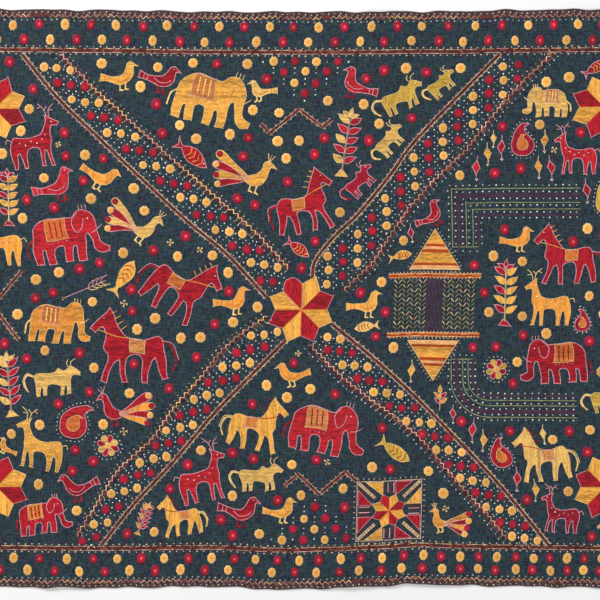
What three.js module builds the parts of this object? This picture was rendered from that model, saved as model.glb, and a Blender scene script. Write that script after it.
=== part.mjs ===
// Phulkari cloth: one length of hand-woven cotton, embroidered with floss silk, lying flat and face up.
// Millimetres. X runs along the cloth from hem to hem, Y across it from selvedge to selvedge, and Z is up.
// The origin is under the middle of the cloth, on the surface that it lies on.
import * as THREE from "three";
import { mergeVertices } from "three/addons/utils/BufferGeometryUtils.js";

// Size of the cloth
const LENGTH = 2200; // hem to hem
const WIDTH = 1320; // selvedge to selvedge
const THICKNESS = 1.2; // the cotton and the silk that is worked through it
const CELL = 44; // distance between two lines where the sheet can bend

// The hems were folded by hand, so they waver
const HEM_WAVER = 3;
const HEM_WAVES = 2.5; // waves in the width of the cloth
const HEM_SHIFT = 0.6; // the left hem's waves against the right one's, in radians

// How far each selvedge strays outwards from a straight line, at places along the cloth
const SELVEDGE_WANDER = [
  { along: -1100, upper: 0, lower: 2 },
  { along: -880, upper: 3, lower: 0 },
  { along: -690, upper: 4, lower: -1 },
  { along: -460, upper: 2, lower: 1 },
  { along: -210, upper: -2, lower: -2 },
  { along: -30, upper: -2, lower: 5 },
  { along: 70, upper: -2, lower: 2 },
  { along: 160, upper: -2, lower: -2 },
  { along: 275, upper: -1, lower: -8 },
  { along: 360, upper: -1, lower: -5 },
  { along: 460, upper: 2, lower: -3 },
  { along: 690, upper: 4, lower: 0 },
  { along: 900, upper: 2, lower: 3 },
  { along: 1100, upper: 0, lower: 1 },
];

// Low soft folds that the cloth keeps from being stored. Each runs along X or Y between two ends, and its
// crest lies at a distance from the other axis, where it sways from side to side.
const FOLDS = [
  { name: "middle", runs: "y", at: 135, sway: 45, swayLength: 750, start: -305, from: -800, to: 800,
    halfWidth: 95, height: 4 },
  { name: "upper left", runs: "x", at: 108, sway: 12, swayLength: 900, start: 0, from: -1240, to: -60,
    halfWidth: 90, height: 3 },
  { name: "left quarter", runs: "y", at: -560, sway: 20, swayLength: 980, start: 90, from: -800, to: 500,
    halfWidth: 88, height: 2.5 },
  { name: "right quarter", runs: "y", at: 705, sway: 25, swayLength: 860, start: 210, from: -420, to: 800,
    halfWidth: 92, height: 3 },
  { name: "lower right", runs: "x", at: -255, sway: 16, swayLength: 700, start: 130, from: 330, to: 1240,
    halfWidth: 88, height: 2.2 },
  { name: "drawn selvedge", runs: "x", at: -640, sway: 0, swayLength: 1000, start: 0, from: 120, to: 440,
    halfWidth: 92, height: 3.5 },
  { name: "slack selvedge", runs: "x", at: 645, sway: 0, swayLength: 1000, start: 0, from: -520, to: -60,
    halfWidth: 88, height: 2.4 },
];

const FOLD_TAIL = 1.5; // a fold dies away at each end over this many of its half widths

const COTTON_BLUE = 0x363f44;
const COTTON_ROUGHNESS = 0.92;

// Rises smoothly from 0 to 1 as share goes from 0 to 1
function ease(share) {
  return THREE.MathUtils.smoothstep(share, 0, 1);
}

// A selvedge's stray at a place along the cloth, eased from one row of the table to the next
function strayAt(along, edge) {
  const last = SELVEDGE_WANDER.length - 1;
  const place = THREE.MathUtils.clamp(along, SELVEDGE_WANDER[0].along, SELVEDGE_WANDER[last].along);
  const after = Math.max(1, SELVEDGE_WANDER.findIndex((row) => row.along >= place));
  const low = SELVEDGE_WANDER[after - 1];
  const high = SELVEDGE_WANDER[after];
  const share = ease((place - low.along) / (high.along - low.along));
  return THREE.MathUtils.lerp(low[edge], high[edge], share);
}

// How high one fold lifts the cloth over the surface at a place
function foldLift(fold, x, y) {
  const along = fold.runs === "x" ? x : y;
  const across = fold.runs === "x" ? y : x;
  const crest = fold.at + fold.sway * Math.sin((2 * Math.PI * (along - fold.start)) / fold.swayLength);
  const offset = (across - crest) / fold.halfWidth;
  if (Math.abs(offset) >= 1) {
    return 0;
  }
  const tail = FOLD_TAIL * fold.halfWidth;
  const ends = ease((along - fold.from) / tail) * ease((fold.to - along) / tail);
  return fold.height * ends * (1 - offset * offset) ** 2;
}

// The highest of the folds counts, so that two that cross don't pile up
function liftAt(x, y) {
  return Math.max(...FOLDS.map((fold) => foldLift(fold, x, y)));
}

// Where a point of the straight, flat sheet lies on the real one
function layPoint(x, y, z) {
  const upShare = y / WIDTH + 0.5;
  const stray = THREE.MathUtils.lerp(-strayAt(x, "lower"), strayAt(x, "upper"), upShare);
  const rightShare = x / LENGTH + 0.5;
  const wave = (2 * Math.PI * HEM_WAVES * y) / WIDTH;
  const hem = HEM_WAVER * THREE.MathUtils.lerp(Math.sin(wave + HEM_SHIFT), Math.sin(wave), rightShare);
  return new THREE.Vector3(x + hem, y + stray, z + liftAt(x, y));
}

// A thin box of square cells, each of its points then laid in its place
function sheetGeometry() {
  const box = new THREE.BoxGeometry(LENGTH, WIDTH, THICKNESS, LENGTH / CELL, WIDTH / CELL, 1);
  box.translate(0, 0, THICKNESS / 2);
  box.deleteAttribute("normal");
  box.deleteAttribute("uv");
  const sheet = mergeVertices(box);
  const points = sheet.attributes.position;
  for (let i = 0; i < points.count; i += 1) {
    const laid = layPoint(points.getX(i), points.getY(i), points.getZ(i));
    points.setXYZ(i, laid.x, laid.y, laid.z);
  }
  return centreOverOrigin(sheet);
}

// Moves the sheet so that its outer sizes are centred on the Z axis
function centreOverOrigin(sheet) {
  sheet.computeBoundingBox();
  const centre = sheet.boundingBox.getCenter(new THREE.Vector3());
  sheet.translate(-centre.x, -centre.y, 0);
  sheet.computeVertexNormals();
  return sheet;
}

const cotton = new THREE.MeshStandardMaterial({
  color: COTTON_BLUE,
  roughness: COTTON_ROUGHNESS,
  metalness: 0,
});

const cloth = new THREE.Mesh(sheetGeometry(), cotton);
cloth.name = "cloth";

const phulkari = new THREE.Group();
phulkari.add(cloth);

export default phulkari;
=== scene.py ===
# %% [markdown]
# # A phulkari cloth, sewn stitch by stitch
# A phulkari is a shawl of hand-woven cotton (khaddar) that is darned all over with floss silk. Here the
# cloth is one thin closed sheet that lies in low folds, and the embroidery is real geometry on it: a few
# stitches are modelled once, and thousands of copies are sewn along outlines, rows and lines.
#
# Everything is planned on the flat cloth in millimetres, "along" it and "across" it. One function then lays
# each point where the real cloth lies, so the sheet and its stitches share the same folds and wavy edges.

import math
import random
from collections import namedtuple

import bpy
import numpy as np
from mathutils.kdtree import KDTree
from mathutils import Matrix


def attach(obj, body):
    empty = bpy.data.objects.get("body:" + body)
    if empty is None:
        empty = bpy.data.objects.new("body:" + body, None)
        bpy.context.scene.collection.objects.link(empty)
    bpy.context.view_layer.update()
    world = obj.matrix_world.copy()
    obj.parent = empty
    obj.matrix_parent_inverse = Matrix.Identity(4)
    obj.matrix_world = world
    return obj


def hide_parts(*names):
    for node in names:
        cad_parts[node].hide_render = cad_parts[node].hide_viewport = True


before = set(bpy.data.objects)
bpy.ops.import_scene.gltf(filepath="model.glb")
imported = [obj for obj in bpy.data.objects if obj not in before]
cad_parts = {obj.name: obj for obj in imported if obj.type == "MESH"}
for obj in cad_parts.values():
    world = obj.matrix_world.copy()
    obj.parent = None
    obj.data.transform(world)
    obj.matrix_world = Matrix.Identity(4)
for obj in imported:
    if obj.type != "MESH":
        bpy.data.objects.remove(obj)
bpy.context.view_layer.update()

# %% [markdown]
# ## Camera
# The photo sees the cloth face on, with no perspective to speak of. A long lens straight above it gives the
# same picture. An orthographic camera would too, but a lens can be moved back to see the whole cloth.

# %% Camera
MM = 0.001
VIEW_WIDTH = 1374 * MM  # the length of cloth that the photo shows
VIEW_CENTRE = (0.0, -2.3 * MM)
LENS = 200.0  # mm
SENSOR = 36.0  # mm
CLIP_END = 100.0  # m, beyond anything in the picture


def add_camera():
    distance = VIEW_WIDTH * LENS / SENSOR
    bpy.ops.object.camera_add(location=(*VIEW_CENTRE, distance), rotation=(0, 0, 0))
    camera = bpy.context.object
    camera.name = "camera"
    camera.data.lens = LENS
    camera.data.sensor_width = SENSOR
    camera.data.clip_end = CLIP_END
    bpy.context.scene.camera = camera
    return distance


bpy.ops.object.select_all(action="DESELECT")
print("camera is", round(add_camera(), 2), "m over the cloth")

# %% [markdown]
# ## Colours and nodes
# Colours are picked as sRGB hex values, as a painter would name them. Blender computes with linear light,
# so one function turns them. Another adds a node with its settings and links, which keeps materials short.


# %% Helpers for colours and nodes
def linear(colour):
    parts = [int(colour[i : i + 2], 16) / 255 for i in (1, 3, 5)]
    return (*[p / 12.92 if p <= 0.04045 else ((p + 0.055) / 1.055) ** 2.4 for p in parts], 1.0)


def node(tree, kind, inputs=None, **settings):
    made = tree.nodes.new(kind)
    for name, value in settings.items():
        setattr(made, name, value)
    for name, value in (inputs or {}).items():
        if isinstance(value, bpy.types.NodeSocket):
            tree.links.new(value, made.inputs[name])
        else:
            made.inputs[name].default_value = value
    return made


def new_material(name, **shader_inputs):
    material = bpy.data.materials.new(name)
    material.use_nodes = True
    shader = material.node_tree.nodes["Principled BSDF"]
    for socket, value in shader_inputs.items():
        shader.inputs[socket.replace("_", " ")].default_value = value
    return material, material.node_tree, shader


# %% [markdown]
# ## Floor and light
# A plain pale floor and soft studio light. The light is broad, so nothing is harsh, but the key light comes
# in low from the upper left. It grazes the cloth and lets each raised stitch catch a little light and
# shade.

# %% Floor and light
FLOOR_GAP = 0.4 * MM  # keeps the floor and the flat underside of the cloth from flickering into each other
FLOOR_SIZE = 16.0  # m
SKY_STRENGTH = 0.62
Lamp = namedtuple("Lamp", "name place size power")  # places and sizes in m, power in W
LAMPS = [Lamp("key_light", (-3.2, 3.4, 2.4), 1.6, 250), Lamp("fill_light", (3.0, -2.0, 4.5), 3.0, 60)]


def add_floor():
    bpy.ops.mesh.primitive_plane_add(size=FLOOR_SIZE, location=(0, 0, -FLOOR_GAP))
    floor = bpy.context.object
    floor.name = "floor"
    white, _, shader = new_material("matt_white_card", Roughness=0.9)
    shader.inputs["Base Color"].default_value = linear("#edecec")
    floor.data.materials.append(white)


def add_area_light(name, place, size, power):
    bpy.ops.object.light_add(type="AREA", location=place)
    light = bpy.context.object
    light.name = name
    light.data.size = size
    light.data.energy = power
    direction = -light.location
    light.rotation_euler = direction.to_track_quat("-Z", "Y").to_euler()


def add_sky(strength):
    world = bpy.data.worlds.new("soft white room")
    world.use_nodes = True
    background = world.node_tree.nodes["Background"]
    background.inputs["Color"].default_value = (1.0, 1.0, 1.0, 1.0)
    background.inputs["Strength"].default_value = strength
    bpy.context.scene.world = world


add_floor()
add_sky(SKY_STRENGTH)
for lamp in LAMPS:
    add_area_light(*lamp)
bpy.context.scene.view_settings.view_transform = "Standard"
print("floor and lights are set")

# %% [markdown]
# ## How the cloth lies
# The selvedges (the woven long edges) aren't straight, the hems waver, and a few low folds from being
# stored still stand up. The same sizes shape the solid of this cloth, so the sheet lies where the solid
# lies. Fine ripples and scalloped edges are added here, because they are finer than the solid's cells.

# %% Sizes and tables of the lie
LENGTH = 2200.0  # mm, as are all the sizes below
WIDTH = 1320.0
THICKNESS = 1.2
HEM_WAVER = 3.0  # how far the ends waver
HEM_WAVES = 2.5  # waves across the width
HEM_SHIFT = 0.6  # radians, how much the left end's wave is ahead of the right end's

Wander = namedtuple("Wander", "along upper lower")
SELVEDGE_WANDER = [
    Wander(-1100, 0, 2),
    Wander(-880, 3, 0),
    Wander(-690, 4, -1),
    Wander(-460, 2, 1),
    Wander(-210, -2, -2),
    Wander(-30, -2, 5),
    Wander(70, -2, 2),
    Wander(160, -2, -2),
    Wander(275, -1, -8),
    Wander(360, -1, -5),
    Wander(460, 2, -3),
    Wander(690, 4, 0),
    Wander(900, 2, 3),
    Wander(1100, 0, 1),
]

Fold = namedtuple("Fold", "runs at sway sway_length start begin end half_width height")
FOLDS = [
    Fold("x", 108, 12, 900, 0, -1240, -60, 90, 3.0),
    Fold("x", -255, 16, 700, 130, 330, 1240, 88, 2.2),
    Fold("x", -640, 0, 1000, 0, 120, 440, 92, 3.5),
    Fold("x", 645, 0, 1000, 0, -520, -60, 88, 2.4),
    Fold("y", 135, 45, 750, -305, -800, 800, 95, 4.0),
    Fold("y", -560, 20, 980, 90, -800, 500, 88, 2.5),
    Fold("y", 705, 25, 860, 210, -420, 800, 92, 3.0),
]
FOLD_TAIL = 1.5  # half widths, over which a fold fades out at its ends

Ripple = namedtuple("Ripple", "length turn start share")
RIPPLES = [
    Ripple(230, 12, 0.4, 0.30),
    Ripple(147, 97, 1.9, 0.28),
    Ripple(93, 60, 3.1, 0.22),
    Ripple(61, 141, 5.0, 0.20),
]
RIPPLE_HEIGHT = 2.6  # where the crests of all the ripples meet

Scallop = namedtuple("Scallop", "length depth start")
SCALLOPS = [Scallop(78, 0.9, 0.7), Scallop(131, 1.2, 2.1), Scallop(53, 0.5, 4.4)]
SCALLOP_REACH = 70.0  # how far inside the selvedge the scallops fade out
EDGE_SAMPLES = 900
centring = np.zeros(2)  # mm, set below: the cloth is centred by its own box, as its solid is


# %% Lay a point of the flat cloth in its place
def ease(share):
    share = np.clip(share, 0, 1)
    return share * share * (3 - 2 * share)


def stray_at(along, edge):
    stops = np.array([row.along for row in SELVEDGE_WANDER], float)
    strays = np.array([getattr(row, edge) for row in SELVEDGE_WANDER], float)
    after = np.clip(np.searchsorted(stops, along), 1, len(stops) - 1)
    share = ease((along - stops[after - 1]) / (stops[after] - stops[after - 1]))
    return strays[after - 1] * (1 - share) + strays[after] * share


def fold_lift(along, across):
    lift = np.zeros_like(along)
    for fold in FOLDS:
        run, side = (along, across) if fold.runs == "x" else (across, along)
        crest = fold.at + fold.sway * np.sin(2 * np.pi * (run - fold.start) / fold.sway_length)
        offset = np.clip(np.abs(side - crest) / fold.half_width, 0, 1)
        tail = FOLD_TAIL * fold.half_width
        ends = ease((run - fold.begin) / tail) * ease((fold.end - run) / tail)
        lift = np.maximum(lift, fold.height * ends * (1 - offset**2) ** 2)
    return lift


def ripple_lift(along, across):
    swell = np.zeros_like(along)
    for ripple in RIPPLES:
        turn = math.radians(ripple.turn)
        distance = along * math.cos(turn) + across * math.sin(turn)
        swell += ripple.share * np.sin(2 * np.pi * distance / ripple.length + ripple.start)
    return RIPPLE_HEIGHT * np.maximum(swell, 0) ** 2


def scallop_shift(along, across):
    phase_share = 1 + (across > 0)  # the two selvedges wave at different places
    wave = sum(s.depth * np.sin(2 * np.pi * along / s.length + s.start * phase_share) for s in SCALLOPS)
    nearness = ease((np.abs(across) - WIDTH / 2 + SCALLOP_REACH) / SCALLOP_REACH)
    return wave * nearness


def lay(along, across, high):
    """Places on the flat cloth, in mm, as points of the lying cloth, in metres."""
    up_share = across / WIDTH + 0.5
    stray = stray_at(along, "upper") * up_share - stray_at(along, "lower") * (1 - up_share)
    wave = 2 * np.pi * HEM_WAVES * across / WIDTH
    right_share = along / LENGTH + 0.5
    hem = HEM_WAVER * (np.sin(wave + HEM_SHIFT) * (1 - right_share) + np.sin(wave) * right_share)
    x = along + hem
    y = across + stray + scallop_shift(along, across)
    z = high + fold_lift(along, across) + ripple_lift(along, across)
    return np.column_stack((x - centring[0], y - centring[1], z)) * MM


def edge_centre():
    """The middle of the lying cloth's box, in mm, from places all along its edges."""
    reach = np.linspace(-0.5, 0.5, EDGE_SAMPLES)
    ends = np.full_like(reach, 0.5)
    along = np.concatenate((reach, reach, ends, -ends)) * LENGTH
    across = np.concatenate((ends, -ends, reach, reach)) * WIDTH
    edge = lay(along, across, np.zeros_like(along))[:, :2] / MM
    return (edge.max(0) + edge.min(0)) / 2


centring[:] = edge_centre()
print("the edges' own middle was off by", centring.round(2).tolist(), "mm")

# %% [markdown]
# ## The cotton sheet
# The ground is one woven length. It starts as a grid, gets its thickness by an extrusion, and its points
# are then laid in their places. The last column at each end is raised, where the hem is folded under and
# the cloth is double. The point attribute "flat" keeps each point's place on the flat cloth, so that the
# weave and the woven stripe along each selvedge follow the cloth and not the room.

# %% The sheet's shape
COLUMNS = 236
ROWS = 140
HEM = 9.0  # width of the folded hem
HEM_HEIGHT = 0.8  # how much thicker the cloth is there
FLAT_BELOW = 50  # degrees, faces of the sheet that meet at less than this look like one surface


def read_points(mesh):
    points = np.zeros(len(mesh.vertices) * 3)
    mesh.vertices.foreach_get("co", points)
    return points.reshape(-1, 3)


def model_sheet():
    bpy.ops.object.select_all(action="DESELECT")
    bpy.ops.mesh.primitive_grid_add(x_subdivisions=COLUMNS, y_subdivisions=ROWS, size=1)
    sheet = bpy.context.object
    sheet.name = "woven_cloth"
    bpy.ops.object.mode_set(mode="EDIT")
    bpy.ops.mesh.select_all(action="SELECT")
    bpy.ops.transform.resize(value=(LENGTH, WIDTH, 1))
    bpy.ops.mesh.extrude_region_move(TRANSFORM_OT_translate={"value": (0, 0, THICKNESS)})
    bpy.ops.mesh.select_all(action="SELECT")
    bpy.ops.mesh.normals_make_consistent(inside=False)
    bpy.ops.object.mode_set(mode="OBJECT")
    return sheet


def fold_hems(points):
    """Moves the two columns inside each end to the hem's two lines, and thickens the end."""
    column = LENGTH / COLUMNS
    from_end = (LENGTH / 2 - np.abs(points[:, 0])) / column
    side = np.sign(points[:, 0])
    hem_line = np.abs(from_end - 1) < 0.5
    step_line = np.abs(from_end - 2) < 0.5
    points[hem_line, 0] = side[hem_line] * (LENGTH / 2 - HEM)
    points[step_line, 0] = side[step_line] * (LENGTH / 2 - HEM - THICKNESS)
    raised = (from_end < 1.5) & (points[:, 2] > THICKNESS / 2)
    points[raised, 2] += HEM_HEIGHT
    return points


def keep_attribute(mesh, name, kind, values):
    attribute = mesh.attributes.new(name, kind, "POINT")
    field = "color" if kind == "FLOAT_COLOR" else "vector"
    attribute.data.foreach_set(field, np.ascontiguousarray(values, np.float32).ravel())


def lay_sheet(sheet):
    flat = fold_hems(read_points(sheet.data))
    laid = lay(flat[:, 0], flat[:, 1], flat[:, 2])
    sheet.data.vertices.foreach_set("co", laid.ravel())
    keep_attribute(sheet.data, "flat", "FLOAT_VECTOR", flat * MM)
    sheet.data.update()
    return laid


cloth = model_sheet()
laid = lay_sheet(cloth)
bpy.ops.object.shade_smooth_by_angle(angle=math.radians(FLAT_BELOW))
print("sheet:", len(cloth.data.polygons), "faces, size", (laid.max(0) - laid.min(0)).round(4).tolist())

# %% [markdown]
# ## Khaddar cotton
# The real ground is thick hand-spun cotton in plain weave, dyed slate blue. Its threads are about 0.8 mm
# apart and uneven, which is too fine for the photo: what the eye gets is a dull surface with short slubs
# along and across, and clouds where the dye took more or less. The slubs are drawn about 3 mm wide, so that
# they show. A woven brown stripe, 10.5 mm wide, runs along each selvedge.

# %% The ground material
SLUB_WIDTH = 3.0  # mm
SLUB_LENGTH = 17.0  # mm
HUE_WIDTH = 6.5  # mm, the width of a few threads that took the dye alike
HUE_LENGTH = 16.0  # mm, over which their hue turns
CLOUD = 36.0  # mm, from one dye cloud to the next
STRIPE = 10.5  # mm, the brown stripe along each selvedge
STRIPE_BLUR = 0.6  # mm
FRAY = 4.0  # mm, how far the stripe's edge wavers
HUE_SHARE = 0.45  # how much the hue of the streaks colours the threads
CLOUD_SHARE = 0.2  # and how much the clouds do
FIBRE_GLOSS = 0.2  # fibres shade one another, so cloth mirrors less white light than a smooth solid does


def mixed(tree, share, first, second):
    return node(tree, "ShaderNodeMix", {0: share, 6: first, 7: second}, data_type="RGBA").outputs[2]


def spread(tree, value, low, high):
    return node(tree, "ShaderNodeMapRange", {"Value": value, "From Min": low, "From Max": high}).outputs[0]


def slubs(tree, flat, along, across, offset, detail=2.0):
    """Soft noise whose patches are so many mm long and wide on the flat cloth."""
    scale = (1 / (along * MM), 1 / (across * MM), 1)
    grid = node(tree, "ShaderNodeMapping", {"Vector": flat, "Scale": scale, "Location": (offset, offset, 0)})
    noise = node(tree, "ShaderNodeTexNoise", {"Vector": grid.outputs[0], "Scale": 1.0, "Detail": detail})
    return noise.outputs[0]


def dye(tree, flat, threads):
    """Light and dark threads, which are bluer, greener or more plum from streak to streak, and clouds."""
    woven = mixed(tree, spread(tree, threads, 0.84, 1.16), linear("#020607"), linear("#3d5058"))
    warp = spread(tree, slubs(tree, flat, HUE_LENGTH, HUE_WIDTH, 5.0), 0.42, 0.58)
    weft = spread(tree, slubs(tree, flat, HUE_WIDTH, HUE_LENGTH, 60.0), 0.42, 0.58)
    warp_hue = mixed(tree, warp, linear("#00403b"), linear("#4b1535"))
    weft_hue = mixed(tree, weft, linear("#0a275e"), linear("#2e3f11"))
    hue = mixed(tree, 0.5, warp_hue, weft_hue)
    clouds = spread(tree, slubs(tree, flat, CLOUD, CLOUD, 11.0), 0.35, 0.65)
    cloud = mixed(tree, clouds, linear("#1a2132"), linear("#1f4038"))
    return mixed(tree, CLOUD_SHARE, mixed(tree, HUE_SHARE, woven, hue), cloud)


def stripe_share(tree, flat, fray):
    """1 in the brown stripes along the selvedges, 0 elsewhere, with an edge that wavers a little."""
    across = node(tree, "ShaderNodeSeparateXYZ", {"Vector": flat}).outputs["Y"]
    far_out = node(tree, "ShaderNodeMath", {0: across}, operation="ABSOLUTE").outputs[0]
    fraying = {0: fray, 1: FRAY * MM, 2: far_out}
    frayed = node(tree, "ShaderNodeMath", fraying, operation="MULTIPLY_ADD").outputs[0]
    edge = (WIDTH / 2 - STRIPE + FRAY / 2) * MM
    return spread(tree, frayed, edge - STRIPE_BLUR * MM, edge + STRIPE_BLUR * MM)


def khaddar_cotton():
    material, tree, shader = new_material("khaddar_cotton", Roughness=0.93, Specular_IOR_Level=FIBRE_GLOSS)
    flat = node(tree, "ShaderNodeAttribute", attribute_name="flat").outputs["Vector"]
    warp = slubs(tree, flat, SLUB_LENGTH, SLUB_WIDTH, 3.0)
    weft = slubs(tree, flat, SLUB_WIDTH, SLUB_LENGTH, 40.0)
    threads = node(tree, "ShaderNodeMath", {0: warp, 1: weft}, operation="ADD").outputs[0]
    brown = mixed(tree, spread(tree, threads, 0.75, 1.25), linear("#352225"), linear("#553f40"))
    colour = mixed(tree, stripe_share(tree, flat, warp), dye(tree, flat, threads), brown)
    bump = node(tree, "ShaderNodeBump", {"Height": threads, "Strength": 0.5, "Distance": 0.5 * MM})
    tree.links.new(colour, shader.inputs["Base Color"])
    tree.links.new(bump.outputs[0], shader.inputs["Normal"])
    return material


cloth.data.materials.append(khaddar_cotton())
print("the cotton is dyed")

# %% [markdown]
# ## Three stitches, modelled once
# All of the embroidery is made of three forms. A float is a length of floss that lies on the cloth and
# dives into it at both ends. A knot is a small tuft, seen as a dot. A disc is the round medallion of a
# phulkari: spokes of floss round a small heart. Each starts as a primitive and is shaped in edit mode. They
# are 1 wide and 1 high here, and every copy gets its own size.


# %% Helpers for modelling
def select_where(mesh_object, test):
    """Selects the points for which test(point) holds, and leaves the object in edit mode."""
    bpy.ops.object.mode_set(mode="EDIT")
    bpy.ops.mesh.select_mode(type="VERT")
    bpy.ops.mesh.select_all(action="DESELECT")
    bpy.ops.object.mode_set(mode="OBJECT")
    for vertex in mesh_object.data.vertices:
        vertex.select = bool(test(vertex.co))
    bpy.ops.object.mode_set(mode="EDIT")


def grow_ring(rise, scale):
    """Extrudes the selected face by a rise and resizes it, which adds one ring of faces."""
    bpy.ops.mesh.extrude_region_move(TRANSFORM_OT_translate={"value": (0, 0, rise)})
    bpy.ops.transform.resize(value=(scale[0], scale[1], 1))


SPOKES = 16  # ribs of floss round the heart of a disc


def spoke_of(point):
    """Which rib of a disc a point lies on."""
    return math.atan2(point[0], point[1]) / (2 * math.pi) * SPOKES


Stitch = namedtuple("Stitch", "points loops starts inward ribs")


def take_stitch(mesh_object, rim_radius=1.0):
    """Reads a modelled stitch, with how far each point lies inside the rim, and removes the object."""
    bpy.ops.object.mode_set(mode="EDIT")
    bpy.ops.mesh.select_all(action="SELECT")
    bpy.ops.mesh.remove_doubles(threshold=0.001)
    bpy.ops.mesh.normals_make_consistent(inside=False)
    bpy.ops.object.mode_set(mode="OBJECT")
    mesh = mesh_object.data
    points = read_points(mesh)
    loops = np.array([loop.vertex_index for loop in mesh.loops])
    starts = np.array([face.loop_start for face in mesh.polygons])
    inward = np.clip(1 - np.hypot(points[:, 0], points[:, 1]) / rim_radius, 0, 1)
    # +1 or -1 on alternate ribs, for the painted rib shade, and 0 at the heart
    ribs = np.array([1.0 if round(spoke_of(point)) % 2 else -1.0 for point in points]) * (inward < 0.9)
    bpy.data.objects.remove(mesh_object)
    return Stitch(points, loops, starts, inward, ribs)


# %% The float
def model_float():
    """A strip that rises to a ridge and slopes down at both ends, like a hipped roof: 8 triangles."""
    bpy.ops.object.select_all(action="DESELECT")
    bpy.ops.mesh.primitive_plane_add(size=1, location=(0, 0, -0.15))
    bpy.ops.object.transform_apply(location=True, rotation=False, scale=False)
    strip = bpy.context.object
    bpy.ops.object.mode_set(mode="EDIT")
    bpy.ops.mesh.select_all(action="SELECT")
    grow_ring(1.15, (0.84, 0.0))
    return take_stitch(strip)


FLOAT = model_float()
print("float:", len(FLOAT.points), "points,", len(FLOAT.starts), "faces", FLOAT.points.round(2).tolist())


# %% The knot
def model_knot():
    """A tuft with a flat underside, squeezed from the coarsest ball: 20 triangles."""
    bpy.ops.object.select_all(action="DESELECT")
    bpy.ops.mesh.primitive_ico_sphere_add(subdivisions=1, radius=0.5, location=(0, 0, 0.2))
    bpy.ops.object.transform_apply(location=True, rotation=True, scale=True)
    tuft = bpy.context.object
    select_where(tuft, lambda co: co.z < 0)
    bpy.ops.transform.resize(value=(1.25, 1.25, 0.2))
    select_where(tuft, lambda co: co.z > 0.3)
    bpy.ops.transform.resize(value=(1.1, 1.1, 1.0))
    return take_stitch(tuft)


KNOT = model_knot()
print("knot:", len(KNOT.points), "points,", len(KNOT.starts), "faces")


# %% The disc
def model_disc():
    """A low ribbed button: foot, rim, crown and heart are rings that are grown one from another."""
    bpy.ops.object.select_all(action="DESELECT")
    bpy.ops.mesh.primitive_circle_add(vertices=SPOKES, radius=1, fill_type="NGON", location=(0, 0, -0.15))
    bpy.ops.object.transform_apply(location=True, rotation=True, scale=True)
    disc = bpy.context.object
    bpy.ops.object.mode_set(mode="EDIT")
    bpy.ops.mesh.select_all(action="SELECT")
    grow_ring(0.85, (0.96, 0.96))
    grow_ring(0.3, (0.66, 0.66))
    grow_ring(-0.12, (0.5, 0.5))
    grow_ring(-0.2, (0.45, 0.45))
    select_where(disc, lambda co: math.hypot(co.x, co.y) > 0.5 and round(spoke_of(co)) % 2 == 0)
    bpy.ops.transform.resize(value=(0.93, 0.93, 0.66))
    return take_stitch(disc)


DISC = model_disc()
print("disc:", len(DISC.points), "points,", len(DISC.starts), "faces")

# %% [markdown]
# ## Threads and their colours
# The floss is untwisted silk, so it shines softly. Its sheen is painted into the colour of the stitches:
# floss laid along the cloth is painted deeper, and floss laid across it paler, as the light falls on the
# strands another way.
# Outlines are a pale lilac pink round crimson and a pale straw round gold. Lines are brown cotton between two
# pale ones.

# %% Thread colours
THREADS = {
    "gold": "#dd9e42",
    "deep gold": "#dc9036",
    "pale floss": "#dcae5e",
    "olive gold": "#bf993c",
    "gold rim": "#dcb57a",
    "gold cheek": "#dca75c",
    "gold heart": "#d67a2a",
    "pale gold": "#dfbb74",
    "crimson": "#9c0b1e",
    "scarlet": "#ac1824",
    "wine": "#8e0b24",
    "crimson rim": "#701631",
    "crimson cheek": "#92102a",
    "crimson heart": "#a81428",
    "crimson eye": "#de5560",
    "orange": "#d97a38",
    "pink": "#cc8f98",
    "straw": "#dfbf86",
    "cream": "#d3b39c",
    "tan": "#a88872",
    "old rose": "#b08480",
    "white": "#e0dcd0",
    "dull white": "#bcb5a6",
    "brown": "#5a2319",
    "dark brown": "#5f2814",
    "umber": "#330f0c",
    "maroon": "#6b1c24",
    "plum": "#4b3044",
    "apricot": "#e3a56c",
    "burnt orange": "#ab420f",
    "salmon": "#cf9c86",
    "rust": "#8c4534",
    "moss": "#8c8c62",
    "hem blue": "#4a5860",
}
RINGS = {
    "gold": ("gold rim", "gold cheek", "gold", "gold heart"),
    "crimson": ("crimson rim", "crimson cheek", "crimson heart", "crimson heart"),
    "eyed crimson": ("crimson rim", "crimson cheek", "crimson heart", "crimson eye"),
}
RIMS = {"gold": "straw", "crimson": "pink"}  # the outline of a form filled with this thread
SEAMS = {"gold": "orange", "crimson": "pink"}  # the lines on it
LIMBS = {"gold": "pale gold", "crimson": "crimson"}  # its legs and tail
RING_STOPS = (0.04, 0.3, 0.68, 0.86)  # from the rim inwards, as shares of the radius
COLOURS = {name: np.array(linear(colour)) for name, colour in THREADS.items()}

# %% [markdown]
# ## Sewing
# A stitch to be sewn is one row: its place, turn, length, width, height, how high it starts over the cloth,
# its thread and how light or deep it looks. The function below copies the modelled stitch to all the rows
# at once, lays every point on the cloth, and makes one mesh of them. Joined meshes from arrays are the way
# to handle tens of thousands of small parts.

# %% The sewing function
Sewn = namedtuple("Sewn", "along across turn long wide high base thread tone")
rng = np.random.default_rng(7)
TONE_SPREAD = 0.14  # how much one stitch differs from the next in lightness
# Stitches of these threads differ so many times as much, and discs of any thread DISC_CALM times as much.
RESTLESS = {"crimson": 2.3, "scarlet": 2.0, "wine": 2.3, "gold": 1.2, "white": 1.8}
DISC_CALM = 0.6
TONE_LIMITS = (-0.5, 0.6)  # the deepest and the lightest that a stitch gets
RIB_PAINTED_SHADE = 0.14  # painted shade: how much lighter or darker alternate ribs of a disc are painted, for the light and shade of their relief
SMOOTH_BELOW = 75  # degrees, faces that meet at less than this look like one round thread


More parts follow.
